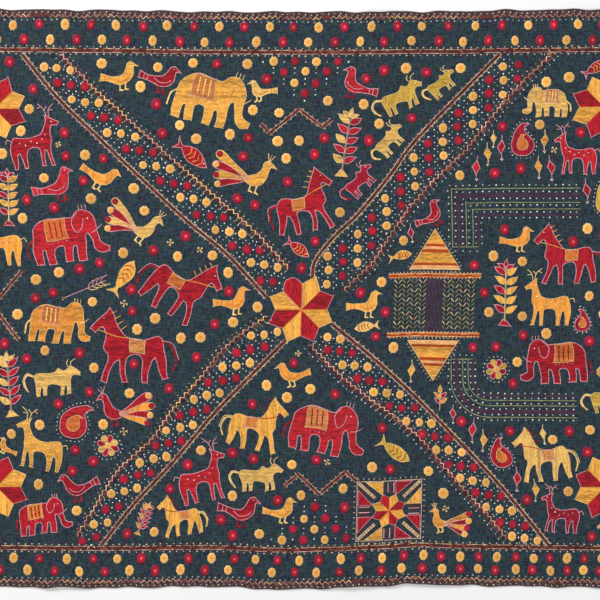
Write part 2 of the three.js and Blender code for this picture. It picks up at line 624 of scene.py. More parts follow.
def sewn_points(stitch, rows):
    sizes = np.array([row[:7] for row in rows], float)
    along, across, turn, long, wide, high, base = (column[:, None] for column in sizes.T)
    x = stitch.points[:, 0] * long
    y = stitch.points[:, 1] * wide
    lifted = THICKNESS + base + stitch.points[:, 2] * high
    place_along = along + x * np.cos(turn) - y * np.sin(turn)
    place_across = across + x * np.sin(turn) + y * np.cos(turn)
    laid = lay(place_along.ravel(), place_across.ravel(), lifted.ravel())
    ids = rng.random((len(rows), 1)) * np.ones_like(x)
    strand = np.column_stack(((x * MM).ravel(), (y * MM).ravel(), ids.ravel()))
    return laid, strand


def sewn_colours(stitch, rows):
    share = [DISC_CALM if stitch is DISC else RESTLESS.get(row.thread, 1.0) for row in rows]
    swing = np.array(share) * rng.normal(0, TONE_SPREAD, len(rows))
    tone = np.clip(np.array([row.tone for row in rows]) + swing, *TONE_LIMITS)
    by_thread = {}
    for name in {row.thread for row in rows}:
        plain = (name,) * len(RING_STOPS)
        rings = RINGS.get(name, plain) if stitch is DISC else plain
        stops = np.array([COLOURS[ring] for ring in rings])
        channels = [np.interp(stitch.inward, RING_STOPS, stops[:, c]) for c in range(4)]
        by_thread[name] = np.column_stack(channels)
    mixed = np.array([by_thread[row.thread] for row in rows])
    # alternate ribs of a disc get painted light and shade
    lightness = (1 + tone)[:, None] * (1 + (RIB_PAINTED_SHADE if stitch is DISC else 0) * stitch.ribs)[None, :]
    mixed = np.clip(mixed * lightness[:, :, None], 0, 1)
    mixed[..., 3] = 1
    return mixed.reshape(-1, 4)


def sew(name, stitch, rows, material):
    count, points, loops = len(rows), len(stitch.points), len(stitch.loops)
    laid, strand = sewn_points(stitch, rows)
    steps = np.arange(count)[:, None]
    mesh = bpy.data.meshes.new(name)
    mesh.vertices.add(count * points)
    mesh.vertices.foreach_set("co", laid.ravel())
    mesh.loops.add(count * loops)
    mesh.loops.foreach_set("vertex_index", (stitch.loops + steps * points).ravel().astype(np.int32))
    mesh.polygons.add(count * len(stitch.starts))
    mesh.polygons.foreach_set("loop_start", (stitch.starts + steps * loops).ravel().astype(np.int32))
    mesh.update(calc_edges=True)
    mesh.validate()
    keep_attribute(mesh, "strand", "FLOAT_VECTOR", strand)
    keep_attribute(mesh, "thread", "FLOAT_COLOR", sewn_colours(stitch, rows))
    mesh.materials.append(material)
    piece = bpy.data.objects.new(name, mesh)
    bpy.context.scene.collection.objects.link(piece)
    bpy.ops.object.select_all(action="DESELECT")
    piece.select_set(True)
    bpy.context.view_layer.objects.active = piece
    bpy.ops.object.shade_smooth_by_angle(angle=math.radians(SMOOTH_BELOW))
    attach(piece, "root")
    triangles = count * (loops - 2 * len(stitch.starts))
    print(f"{name}: {count} stitches, {triangles} triangles")
    return piece


# %% [markdown]
# ## Floss silk and cotton thread
# Floss silk has a soft sheen along its strands and reads smoother than the ground. Cotton thread is dull.
# Both take their colour from the stitch's own "thread" attribute, and fine strands run along each stitch.

# %% Thread materials
STRAND = 0.45  # mm, the width of one strand of floss
STRAND_LONG = 9.0  # mm, over which a strand turns lighter or deeper
STITCH_STEP = 60  # how far the noise moves on from one stitch to the next


def thread_material(name, roughness, sheen, strand_depth):
    material, tree, shader = new_material(
        name, Roughness=roughness, Specular_IOR_Level=FIBRE_GLOSS, Sheen_Weight=sheen, Sheen_Roughness=0.35
    )
    colour = node(tree, "ShaderNodeAttribute", attribute_name="thread").outputs["Color"]
    strand = node(tree, "ShaderNodeAttribute", attribute_name="strand").outputs["Vector"]
    scale = (1 / (STRAND_LONG * MM), 1 / (STRAND * MM), STITCH_STEP)
    grid = node(tree, "ShaderNodeMapping", {"Vector": strand, "Scale": scale})
    noise = node(tree, "ShaderNodeTexNoise", {"Vector": grid.outputs[0], "Scale": 1.0, "Detail": 1.0})
    strands = noise.outputs[0]
    shades = {"Value": strands, "To Min": 1 - strand_depth, "To Max": 1 + strand_depth}
    shade = node(tree, "ShaderNodeMapRange", shades)
    shaded = node(tree, "ShaderNodeVectorMath", {0: colour, "Scale": shade.outputs[0]}, operation="SCALE")
    bump = node(tree, "ShaderNodeBump", {"Height": strands, "Strength": 0.4, "Distance": 0.2 * MM})
    tree.links.new(shaded.outputs[0], shader.inputs["Base Color"])
    tree.links.new(bump.outputs[0], shader.inputs["Normal"])
    return material


FLOSS_SILK = thread_material("floss_silk", 0.5, 0.05, 0.16)
COTTON_THREAD = thread_material("cotton_thread", 0.85, 0.0, 0.1)
print("thread materials are ready")

# %% [markdown]
# ## Filling an outline with floss
# An embroiderer fills a form with floats that lie side by side, counted along or across the weave. The
# outline is cut by parallel lines, one for each row of floss, and each cut is filled with floats end to
# end. The joints between floats are shifted from row to row, as in real darning.

# %% Paths and rows of floss
FLOSS_PITCH = 2.0  # mm, from one row of floss to the next
FLOAT_LONG = 11.0  # mm, the longest float
FLOAT_HIGH = 0.6
FIRST_SHARE = ((0.8, 1.0), (0.35, 0.6))  # the first float of even and odd rows, as a share of the longest
NEXT_SHARE = (0.85, 1.1)  # and the floats after it
LAST_SHARE = 1.2  # a rest shorter than this is one float
SHORTEST_FLOAT = 1.2  # mm, what is shorter is left out
TUCK = 0.4  # mm, how much longer a float is than its place
FLOAT_OVERLAP = 1.15  # how much wider a float is than its row, so that no cotton shows between rows
ROW_TONE = 0.1  # how much one row differs from the next in lightness
JITTER = 0.5  # mm, how unevenly floats start and end
ALONG, ACROSS = 0.0, math.pi / 2
# painted sheen: floss laid along the cloth is painted deeper, and floss laid across it paler, for the light
# its strands throw
LAID_PAINTED_SHEEN = {ALONG: -0.08, ACROSS: 0.1}
luck = random.Random(11)


def smooth(points, closed=False, steps=5):
    """A soft curve through the points. A point that is given twice stays a sharp corner."""
    points = np.array(points, float)
    if closed:
        ring = np.vstack((points[-1:], points, points[:2]))
    else:
        ring = np.vstack((points[:1], points, points[-1:]))
    curve = []
    for a, b, c, d in zip(ring, ring[1:], ring[2:], ring[3:]):
        if np.allclose(b, c):
            continue
        a = b if np.allclose(a, b) else a
        d = c if np.allclose(c, d) else d
        for t in np.arange(steps) / steps:
            square = (2 * a - 5 * b + 4 * c - d) * t**2
            cube = (3 * b - a - 3 * c + d) * t**3
            curve.append(0.5 * (2 * b + (c - a) * t + square + cube))
    if not closed:
        curve.append(points[-1])
    return np.array(curve)


def turned(points, turn):
    cos, sin = math.cos(turn), math.sin(turn)
    return np.asarray(points, float) @ np.array([[cos, sin], [-sin, cos]])


def cuts(loops, level):
    """Where a level line crosses closed outlines, from left to right."""
    found = []
    for loop in loops:
        ahead = np.roll(loop, -1, axis=0)
        crosses = (loop[:, 1] <= level) != (ahead[:, 1] <= level)
        a, b = loop[crosses], ahead[crosses]
        found.extend(a[:, 0] + (level - a[:, 1]) / (b[:, 1] - a[:, 1]) * (b[:, 0] - a[:, 0]))
    return sorted(found)


def floats_between(left, right, odd):
    """Splits one row into floats, with the joints shifted on every other row."""
    first = FLOAT_LONG * luck.uniform(*FIRST_SHARE[odd])
    marks = [left]
    while right - marks[-1] > FLOAT_LONG * LAST_SHARE:
        marks.append(marks[-1] + (first if len(marks) == 1 else FLOAT_LONG * luck.uniform(*NEXT_SHARE)))
    marks.append(right)
    return zip(marks, marks[1:])


def fill(outline, laid, thread, holes=(), tone=0.0):
    loops = [turned(loop, -laid) for loop in (outline, *holes)]
    low, high = loops[0][:, 1].min(), loops[0][:, 1].max()
    count = max(1, round((high - low) / FLOSS_PITCH))
    rows, row_tone = [], 0.0
    for i in range(count):
        level = low + (high - low) * (i + 0.5) / count
        row_tone = 0.5 * row_tone + luck.gauss(0, ROW_TONE)
        marks = cuts(loops, level)
        for left, right in zip(marks[::2], marks[1::2]):
            for start, end in floats_between(left, right, i % 2):
                start += luck.uniform(-JITTER, JITTER)
                end += luck.uniform(-JITTER, JITTER)
                if end - start < SHORTEST_FLOAT:
                    continue
                along, across = turned([((start + end) / 2, level)], laid)[0]
                wide = (high - low) / count * FLOAT_OVERLAP
                # adds the painted sheen of the way the floss is laid to the row's and the motif's own tone
                lightness = LAID_PAINTED_SHEEN[laid] + tone + row_tone
                long = end - start + TUCK
                rows.append(Sewn(along, across, laid, long, wide, FLOAT_HIGH, 0, thread, lightness))
    return rows


# %% [markdown]
# ## Lines of stitches
# Outlines, legs, stems and the brown lines of the borders are stem stitch: short stitches that overlap
# along a path. A path can be shifted sideways, which gives the pale lines on both sides of a brown one.
# Dots and small ticks are spaced along a path in the same way.


# %% Walk along a path
def walk(path, step, shift=0.0, start=0.5):
    """Evenly spaced places along a path, each with its direction, shifted to its left."""
    path = np.asarray(path, float)
    legs = np.diff(path, axis=0)
    lengths = np.hypot(legs[:, 0], legs[:, 1])
    marks = np.concatenate(([0], np.cumsum(lengths)))
    count = max(1, round(marks[-1] / step))
    at = (np.arange(count) + start) * marks[-1] / count
    at = at[at <= marks[-1]]
    leg = np.clip(np.searchsorted(marks, at) - 1, 0, len(legs) - 1)
    unit = legs[leg] / np.maximum(lengths[leg], 1e-6)[:, None]
    spots = path[leg] + unit * (at - marks[leg])[:, None]
    side = np.column_stack((-unit[:, 1], unit[:, 0]))
    spots = spots + side * shift
    return spots, np.arctan2(unit[:, 1], unit[:, 0]), marks[-1] / count


def stem(path, thread, wide=1.6, step=6.0, shift=0.0, base=0.0, high=0.8, tone=0.0):
    spots, turns, gap = walk(path, step, shift)
    return [Sewn(x, y, turn, gap * 1.3, wide, high, base, thread, tone) for (x, y), turn in zip(spots, turns)]


def closed(outline):
    return np.vstack((outline, outline[:1]))


def dot(spot, size=3.5, thread="white"):
    wide, long = (size * luck.uniform(0.75, 1.2) for _ in range(2))
    return [Sewn(*spot, luck.uniform(0, 3), wide, long, 1.5, 0, thread, luck.uniform(-0.25, 0.05))]


def dots_along(path, thread, pitch, shift=0.0, start=0.5, size=3.5, stray=0.9):
    dots = []
    for x, y in walk(path, pitch, shift, start)[0]:
        spot = (x + luck.uniform(-stray, stray), y + luck.uniform(-stray, stray))
        dots.extend(dot(spot, size, thread))
    return dots


# %% [markdown]
# ## The plan of the embroidery
# Every stitch goes into one of a few lists, and each list becomes one piece at the end. All the places
# below are real sizes on the flat cloth, measured from its middle.

# %% The lists of stitches
work = {
    name: []
    for name in (
        "gold_fills",
        "crimson_fills",
        "outlines",
        "fine_lines",
        "border_lines",
        "band_lines",
        "selvedge_zigzag",
        "dots",
        "gold_discs",
        "crimson_discs",
        "hem_stitches",
    )
}
DISC_RADIUS = 12.0  # radius of a disc in the fields
DISC_HIGH = 0.95
BAND_DISC = 10.2  # radius of a disc in the bands and fans
BORDER_DISC = 11.0  # radius of a disc in the borders
DISC_SPREAD = {"gold": 1.0, "crimson": 1.06}  # how large each thread's discs come out


def add_disc(along, across, thread, radius=DISC_RADIUS, oval=0.97):
    rings = "eyed crimson" if thread == "crimson" and radius > BAND_DISC else thread
    radius *= luck.uniform(0.92, 1.07) * DISC_SPREAD[thread]
    oval *= luck.uniform(0.95, 1.05)
    tone = luck.uniform(-0.07, 0.07)
    work[thread + "_discs"].append(
        Sewn(along, across, luck.uniform(-0.2, 0.2), radius * oval, radius / oval, DISC_HIGH, 0, rings, tone)
    )


def other(thread):
    return "gold" if thread == "crimson" else "crimson"


# %% [markdown]
# ## Borders
# From the selvedge inwards there is a zigzag of many-coloured floss between two rows of dots, then two
# staggered rows of discs, alternately gold and crimson, and then a brown line between pale ones with dots
# on both sides. The hand shows in the pitch of the discs, which gets tighter towards the lower right.

# %% Border tables
Border = namedtuple("Border", "zigzag near far line pitch_left pitch_right")
BORDERS = {
    "upper": Border(14.0, 34.6, 69.0, 92.5, 59, 59),
    "lower": Border(14.0, 38.0, 65.5, 90.0, 67, 31),
    "left": Border(22.0, 42.0, 74.0, 97.0, 58, 58),
    "right": Border(22.0, 42.0, 74.0, 97.0, 56, 56),
}
Corner = namedtuple("Corner", "line zigzag discs")
LONG_SIDE = Corner(97.0, 22.0, 30.0)  # mm, from the corner of the cloth to where each of these starts
SHORT_SIDE = Corner(91.0, 14.0, 105.0)
FAR_DISCS = 20  # mm, how much later the inner row of discs starts
HALF_LENGTH, HALF_WIDTH = LENGTH / 2, WIDTH / 2
LINE_DOT_PITCH = 15.4
ZIGZAG_PITCH = 13.4  # mm, from one tooth of the selvedge's zigzag to the next, and from dot to dot beside it
ZIGZAG_SWING = 3.8  # mm, from its middle to a tooth's tip
ZIGZAG_THREADS = ("tan", "old rose", "cream", "salmon", "tan", "straw", "rust")
ZIGZAG_CHANGE = 0.4  # how often the thread changes from one stitch to the next
BAY_THREADS = ("brown", "umber", "maroon", "rust", "maroon")
CORE_GAP = 1.5  # mm, from the middle of a brown line to each of its rows
FLANK_GAP = 4.4  # mm, from there to the pale lines
DOT_GAP = 8.6  # mm, from there to the dots


def border_path(side, inset, end_inset):
    """A straight path along one side of the cloth, at a distance from the edge, from left to right."""
    if side in ("upper", "lower"):
        across = HALF_WIDTH - inset if side == "upper" else inset - HALF_WIDTH
        ends = HALF_LENGTH - end_inset
        return np.array([(-ends, across), (ends, across)])
    along = HALF_LENGTH - inset if side == "right" else inset - HALF_LENGTH
    ends = HALF_WIDTH - end_inset
    return np.array([(along, -ends), (along, ends)])


def uneven(stitches, threads, swing):
    """The same stitches, each in one of the threads and a little lighter or deeper, like a worn line."""
    return [row._replace(thread=luck.choice(threads), tone=luck.uniform(-swing, swing)) for row in stitches]


WORN_FLANKS = (
    ("old rose", "tan", "old rose", "cream", "brown"),
    ("tan", "straw", "tan", "old rose", "brown"),
)
PALE_FLANKS = (("cream", "tan", "cream", "old rose"), ("cream", "straw", "tan", "cream"))


def double_line(path, core="brown", core_wide=3.0, list_name="border_lines", flanks=WORN_FLANKS, dots=True):
    cores = (core, core, core, "rust")
    for shift in (-CORE_GAP, CORE_GAP):
        work[list_name].extend(uneven(stem(path, core, core_wide, 6.0, shift), cores, 0.25))
    for shift, threads in zip((-FLANK_GAP, FLANK_GAP), flanks):
        work[list_name].extend(uneven(stem(path, "tan", 2.0, 5.5, shift), threads, 0.2))
    if dots:
        work["dots"].extend(dots_along(path, "cream", LINE_DOT_PITCH, DOT_GAP, 0.25))
        work["dots"].extend(dots_along(path, "cream", LINE_DOT_PITCH, -DOT_GAP, 0.75))


def zigzag(path):
    """Slanted stitches up and down along a path, with brown patches in the bays on both of its sides."""
    spots, turns, gap = walk(path, ZIGZAG_PITCH / 2)
    slant = math.atan2(2 * ZIGZAG_SWING, gap)
    long = math.hypot(2 * ZIGZAG_SWING, gap)
    thread = luck.choice(ZIGZAG_THREADS)
    sewn = work["selvedge_zigzag"]
    for i, ((x, y), turn) in enumerate(zip(spots, turns)):
        thread = luck.choice(ZIGZAG_THREADS) if luck.random() < ZIGZAG_CHANGE else thread
        side = 1 if i % 2 else -1
        tone = luck.uniform(-0.45, 0.0)
        lean = turn + side * slant + luck.uniform(-0.15, 0.15)
        sewn.append(Sewn(x, y + luck.uniform(-0.8, 0.8), lean, long * 1.05, 2.1, 1.0, 0, thread, tone))
        bay = np.array([gap / 2, -side * ZIGZAG_SWING * 0.55])
        x, y = turned([bay], turn)[0] + (x, y)
        patch = luck.choice(BAY_THREADS)
        sewn.append(Sewn(x, y, turn, gap * 0.8, 4.2, 0.7, 0, patch, luck.uniform(-0.4, 0.2)))


# %% Sew the borders
def disc_row(side, inset, end_inset, first, stagger):
    border = BORDERS[side]
    start, end = border_path(side, inset, end_inset)
    length = np.hypot(*(end - start))
    unit = (end - start) / length
    at, thread = stagger * border.pitch_left, first
    while at < length:
        share = at / length
        x, y = start + unit * at
        add_disc(x + luck.uniform(-2, 2), y + luck.uniform(-1.5, 1.5), thread, BORDER_DISC, 0.9)
        thread = other(thread)
        at += border.pitch_left + (border.pitch_right - border.pitch_left) * share + luck.uniform(-3, 3)


def sew_border(side):
    border = BORDERS[side]
    corner = LONG_SIDE if side in ("upper", "lower") else SHORT_SIDE
    double_line(border_path(side, border.line, corner.line))
    path = border_path(side, border.zigzag, corner.zigzag)
    zigzag(path)
    for shift, start in ((7.6, 0.25), (-9.2, 0.75)):
        work["dots"].extend(dots_along(path, "dull white", ZIGZAG_PITCH, shift, start, 3.4))
    disc_row(side, border.near, corner.discs, "gold", 0.95)
    disc_row(side, border.far, corner.discs + FAR_DISCS, "gold", 0.06)


for side in BORDERS:
    sew_border(side)
print("borders:", {name: len(rows) for name, rows in work.items() if rows})

# %% [markdown]
# ## Eight-pointed stars
# The centre star and the four side stars have eight petals, gold and crimson in turn. Petals near the
# upright are laid across the cloth and are painted paler, and petals near the level are laid along it and
# are painted deeper, for the sheen of the floss. Crimson petals get more of this painted sheen.

# %% Stars
STAR_TIP = 79.0  # mm, from a star's middle to the tip of a petal
STAR_NOTCH = 59.0  # and to the notch between two
PETAL = 45  # degrees
CENTRE_STAR = (3, -21)
SIDE_STARS = [(-698, 433), (698, 437), (-698, -431), (696, -431)]


def petal(tip, notch, first):
    places = [(0.0, 0.0)]
    for radius, degrees in ((notch, first), (tip, first + PETAL / 2), (notch, first + PETAL)):
        angle = math.radians(degrees)
        places.append((radius * math.cos(angle), radius * math.sin(angle)))
    return np.array(places)


def round_petal(tip, notch, first):
    """A petal with a round end, as one of the centre star's has."""
    middle = math.radians(first + PETAL / 2)
    axis = np.array([math.cos(middle), math.sin(middle)])
    side = np.array([-axis[1], axis[0]])
    half = notch * math.sin(math.radians(PETAL / 2))
    waist = notch * math.cos(math.radians(PETAL / 2))
    knee = [axis * waist * 0.55 + side * half * s * 0.62 for s in (-1, 1)]
    hips = [axis * waist + side * half * s * 0.96 for s in (-1, 1)]
    cheeks = [axis * tip * 0.95 + side * half * s * 0.55 for s in (-1, 1)]
    outline = [(0, 0), (0, 0), knee[0], hips[0], cheeks[0], axis * tip, cheeks[1], hips[1], knee[1]]
    return smooth(outline, closed=True)


def sew_star(centre, size=1.0, one_round=False, first_thread="crimson"):
    thread = first_thread
    for i in range(8):
        first = PETAL * i
        tip = STAR_TIP * size * luck.uniform(0.97, 1.04)
        notch = STAR_NOTCH * size
        rounded = one_round and i == 2
        outline = (round_petal if rounded else petal)(tip, notch, first) + centre
        upright = i in (1, 2, 5, 6)
        laid = ACROSS if upright else ALONG
        # painted sheen: crimson petals are painted paler when upright and deeper when level, on top of the
        # laid sheen
        tone = (0.1 if upright else -0.1) if thread == "crimson" else 0.0
        work[thread + "_fills"].extend(fill(outline, laid, thread, tone=tone))
        rim = outline if rounded else outline[1:]
        work["outlines"].extend(stem(rim, RIMS[thread], 1.5 * size**0.3, 5.0, 0, 0.3))
        ray = np.array([centre, centre + petal(tip, notch, first)[1] if rounded else outline[1]])
        work["fine_lines"].extend(stem(ray, "orange", 1.4 * size**0.3, 6.0, 0, 0.5))
        thread = other(thread)


sew_star(np.array(CENTRE_STAR), one_round=True)
for star in SIDE_STARS:
    sew_star(np.array(star), 0.94, first_thread="gold")
print("stars:", {name: len(rows) for name, rows in work.items() if rows})

# %% [markdown]
# ## Bands of discs
# Two diagonals cross at the centre star. Each of the four bands has a brown double line with ticks on one
# side and a stepped line on the other. Between them lie rows of three discs, gold and crimson in turn, and
# pale dots fill the gaps. The upper right band has its rows upright, the others have them nearly level.

# %% Band tables
Band = namedtuple("Band", "axis start pitch count first lean spacing slope double stepped steps")
BANDS = [
    Band(
        1, 525, -37.1, 14, "gold", 5, 31, -0.13,
        [(-639, 558), (-556, 461), (-459, 369), (-355, 269), (-258, 177), (-170, 103), (-78, 7)],
        [(-552, 558), (-477, 483), (-403, 418), (-324, 348), (-250, 282), (-183, 221), (-118, 164),
         (-22, 63)],
        ("cream", "salmon", "straw"),
    ),
    Band(
        0, 499.7, -33.7, 14, "crimson", 0, 32, 0.0,
        [(456, 559), (364, 465), (263, 357), (206, 282), (131, 195), (87, 156), (53, 119), (30, 85),
         (26, 55)],
        [(582, 561), (517, 497), (433, 401), (380, 334), (302, 261), (220, 165), (167, 85), (92, 11)],
        ("tan", "cream", "salmon"),
    ),
    Band(
        1, -77, -36.3, 14, "gold", -2, 31, 0.21,
        [(-30, -90), (-118, -182), (-206, -274), (-293, -374), (-380, -466), (-455, -563)],
        [(-74, -37), (-162, -107), (-227, -186), (-293, -261), (-341, -326), (-415, -392), (-472, -479),
         (-516, -554)],
        ("straw", "tan", "cream"),
    ),
    Band(
        1, -86, -33.2, 15, "gold", -1, 29, -0.12,
        [(74, -55), (183, -147), (284, -247), (372, -339), (460, -435), (569, -563)],
        [(22, -103), (109, -190), (188, -252), (271, -326), (346, -414), (416, -488), (481, -563)],
        ("salmon", "cream", "tan"),
    ),
]
LINE_ROOM = 15.5  # mm, from a line to the middle of the nearest disc
BAND_DOT_PITCH = 15.0
STAIR_STEP = 13.5  # mm, from one stair to the next
STAIR_CHANGE = 0.45  # how often the thread changes from one stair to the next
STAIR_PATCHES = ("brown", "maroon", "umber", "maroon", "rust")
SPUR_SHARE = 0.6  # how many of the stairs have a short spur


# %% Single stitches, ticks and stairs
def stitch_between(a, b, thread, wide=1.6, high=0.8, base=0.0, tone=0.0):
    (ax, ay), (bx, by) = a, b
    long = math.hypot(bx - ax, by - ay)
    turn = math.atan2(by - ay, bx - ax)
    return Sewn((ax + bx) / 2, (ay + by) / 2, turn, long + 1, wide, high, base, thread, tone)


def ticks_along(path, thread, pitch, shift, start, long=5.0):
    spots, turns, _ = walk(path, pitch, shift, start)
    turns = turns + math.pi / 2
    return [Sewn(x, y, turn, long, 2.0, 1.1, 0, thread, 0) for (x, y), turn in zip(spots, turns)]


def staircase(path, threads):
    """A pale stair with brown patches in its corners, dull dots on the outside and white ones inside."""
    spots = walk(path, STAIR_STEP, start=0.0)[0]
    spots = spots + [(luck.uniform(-1.3, 1.3), luck.uniform(-1.3, 1.3)) for _ in spots]
    thread = threads[0]
    for a, b in zip(spots, spots[1:]):
        knee = np.array([b[0], a[1]])
        out = knee - (a + b) / 2
        out = out / np.hypot(*out)
        thread = luck.choice(threads) if luck.random() < STAIR_CHANGE else thread
        for start, end, tone in ((a, knee, -0.15), (knee, b, 0.1)):
            tone += luck.uniform(-0.2, 0.15)
            work["band_lines"].append(stitch_between(start, end, thread, 2.6, 1.1, tone=tone))
        along = (b - a) * 0.25
        for middle, gap in (((a + b) / 2, 2.1), (b, 5.2), ((a + b) / 2, -3.2)):
            middle = middle + out * gap
            patch = luck.choice(STAIR_PATCHES)
            tone = luck.uniform(-0.35, 0.2)
            ends = (middle - along, middle + along)
            work["band_lines"].append(stitch_between(*ends, patch, 4.0, 0.7, tone=tone))
        if luck.random() < SPUR_SHARE:
            spur = b - out * luck.uniform(7, 10)
            work["band_lines"].append(stitch_between(b - out * 3, spur, thread, 1.6, tone=-0.2))
        work["dots"].extend(dot(knee + out * 6.4, 3.2, luck.choice(("tan", "cream"))))
        work["dots"].extend(dot(a - out * 11.5, 2.8, "white"))


# %% Sew the bands
def crossing(path, level, axis):
    order = path[:, axis].argsort()
    return float(np.interp(level, path[order, axis], path[order, 1 - axis]))


def band_spot(axis, level, place):
    return np.array([place, level] if axis == 1 else [level, place])


def star_radius(angle):
    """How far the centre star reaches in a direction: to a tip mid petal, and less between two."""
    share = 1 - abs(math.degrees(angle) % PETAL - PETAL / 2) / (PETAL / 2)
    return STAR_NOTCH + (STAR_TIP - STAR_NOTCH) * share


def on_star(spot, margin):
    away = np.asarray(spot) - CENTRE_STAR
    return np.hypot(*away) < star_radius(math.atan2(away[1], away[0])) + margin


def sew_band_row(band, level, low, high, thread):
    """One row of discs and the dots between them. Discs that would lie on the centre star are left out."""
    lean = luck.uniform(-3, 3) + band.lean
    middle = (low + high) / 2 + lean
    room = high - low - 2 * LINE_ROOM
    count = int(np.clip((room + 4) // band.spacing + 1, 1, 3))
    spacing = min(band.spacing, room / (count - 1)) if count > 1 else band.spacing
    for i in range(count):
        offset = (i - (count - 1) / 2) * spacing + luck.uniform(-1.5, 1.5)
        spot = band_spot(band.axis, level + band.slope * offset + luck.uniform(-2, 2), middle + offset)
        if not on_star(spot, BAND_DISC - 3):
            add_disc(*spot, thread, BAND_DISC)
    for i in range(count + 1):
        offset = (i - count / 2) * spacing
        spot = band_spot(band.axis, level + band.slope * offset, middle + offset)
        if abs(offset + lean) < (high - low) / 2 - 9 and not on_star(spot, 4):
            work["dots"].extend(dot(spot + luck.uniform(-1, 1)))


def sew_dot_row(band, level, low, high):
    """Two staggered lines of dots between two rows of discs."""
    count = max(1, int((high - low - 18) // BAND_DOT_PITCH))
    for i in range(2 * count + 1):
        offset = (i - count) * BAND_DOT_PITCH / 2
        rise = band.slope * offset + (3.4 if i % 2 else -3.4)
        spot = band_spot(band.axis, level + rise, (low + high) / 2 + offset)
        if not on_star(spot, 4):
            work["dots"].extend(dot(spot + luck.uniform(-1, 1), 2.9))


def sew_band(band):
    double, stepped = smooth(band.double), smooth(band.stepped)
    double_line(double, "dark brown", 2.2, "band_lines", PALE_FLANKS, dots=False)
    for shift, start in ((7.0, 0.25), (-7.0, 0.75)):
        work["band_lines"].extend(ticks_along(double, "cream", 14.5, shift, start, 4.0))
    staircase(stepped, band.steps)
    thread = band.first
    for i in range(band.count):
        level = band.start + band.pitch * i
        low, high = sorted(crossing(side, level, band.axis) for side in (double, stepped))
        sew_band_row(band, level, low, high, thread)
        between = level + band.pitch / 2
        low, high = sorted(crossing(side, between, band.axis) for side in (double, stepped))
        sew_dot_row(band, between, low, high)
        thread = other(thread)


for band in BANDS:
    sew_band(band)
print("bands:", len(work["band_lines"]), "stitches,", len(work["dots"]), "dots so far")

# %% [markdown]
# ## Field motifs
# The fields between the bands are full of animals, birds, trees, paisleys and flowers, each a flat shape
# filled with floss. Crimson ones have a pale pink outline and gold ones a straw one. These are the ordinary
# motifs of folk embroidery, drawn here anew. A shape is a list of places in mm, and a place given twice is
# a sharp corner. "main" and "other" are the motif's first and second colour.

# %% Outlines of the motifs
Part = namedtuple("Part", "kind shape thread")


def corners(*places):
    """Doubles places, which keeps them sharp in a smooth outline."""
    return [place for place in places for _ in range(2)]


BIRD = [
    *corners((-57, 16)), (-34, 9), (-10, 8), (8, 13), (19, 29), (25, 42), (36, 47), (45, 41),
    *corners((55, 34)), (43, 33), (40, 20), (37, 3), (25, -12), (4, -18), (-18, -11), (-40, -5),
    *corners((-59, -6)),
]
PEACOCK = [
    (-10, 4), (6, 15), (13, 34), (14, 52), (23, 62), (34, 59), *corners((47, 50)), (33, 48), (31, 34),
    (34, 14), (28, -6), (12, -17), (-8, -15), (-22, -6),
]
COW = [
    (-57, 18), (-46, 28), (-16, 24), (6, 27), (18, 38), (30, 31), (42, 33), (52, 41), (62, 36),
    *corners((80, 20), (76, 11)), (62, 14), (52, 10), (46, -4), *corners((47, -38), (37, -38)), (35, -12),
    *corners((28, -14), (26, -38), (17, -38)), (16, -12), (-18, -9), *corners((-24, -38), (-33, -38)),
    (-34, -14), *corners((-40, -14), (-44, -38), (-53, -38)), (-54, -8),
]
DEER = [
    (-62, 20), (-50, 31), (-10, 26), (22, 31), (34, 48), (40, 68), *corners((38, 84)), (50, 78), (60, 72),
    *corners((76, 62), (72, 54)), (57, 55), (52, 38), (50, 12), (46, -4), *corners((51, -56), (43, -56)),
    (38, -18), *corners((30, -12), (24, -56), (16, -56)), (16, -10), (-16, -7),
    *corners((-26, -56), (-34, -56)), (-38, -18), *corners((-46, -14), (-54, -56), (-62, -56)), (-66, -4),
]
HORSE = [
    (-62, 18), (-50, 31), (-14, 24), (12, 30), (28, 52), (38, 74), *corners((48, 90)), (54, 80), (68, 66),
    *corners((84, 50), (76, 40)), (60, 50), (54, 34), (56, 8), (48, -10), *corners((62, -58), (52, -62)),
    (38, -22), *corners((26, -14), (20, -60), (10, -60)), (12, -14), (-18, -8),
    *corners((-20, -60), (-30, -60)), (-38, -20), *corners((-46, -12), (-62, -56), (-72, -52)), (-66, -6),
]
ELEPHANT = [
    (-68, 6), (-60, 36), (-32, 52), (4, 50), (24, 48), (36, 60), (54, 64), (70, 52), (77, 30), (79, 6),
    (82, -14), *corners((100, -24), (100, -34)), (82, -37), (68, -26), (64, -6), (58, 10), (50, 2),
    *corners((48, -48), (30, -48)), (28, -16), *corners((20, -16), (16, -48), (0, -48)), (0, -14),
    (-20, -15), *corners((-22, -48), (-39, -48)), (-41, -18), *corners((-48, -18), (-50, -48), (-66, -48)),
    (-69, -16),
]
FISH = [
    *corners((52, 0)), (32, 15), (4, 21), (-24, 12), (-40, 4), *corners((-60, 19), (-52, 0), (-60, -19)),
    (-40, -4), (-24, -12), (4, -21), (32, -15),
]
PAISLEY = [
    (0, -50), (29, -40), (40, -12), (30, 14), (19, 32), (22, 46), *corners((36, 56)), (14, 60), (-8, 44),
    (-26, 22), (-38, -6), (-28, -38),
]
LEAF = [*corners((0, 0)), (9, 6.5), (20, 6), *corners((32, 0)), (20, -6), (9, -6.5)]
FEATHER = [*corners((0, 3)), (40, 7), (88, 11), (106, 6), (106, -6), (88, -11), (40, -7), *corners((0, -3))]
CLOTH_PATCH = corners((-36, 51), (8, 50), (11, 4), (-38, 4))


def shape(outline, scale=1.0, turn=0.0, at=(0, 0)):
    return turned(np.array(outline, float) * scale, math.radians(turn)) + at


def arc(radius, start, end, at=(0, 0), count=7):
    angles = np.radians(np.linspace(start, end, count))
    return np.column_stack((np.cos(angles), np.sin(angles))) * radius + at


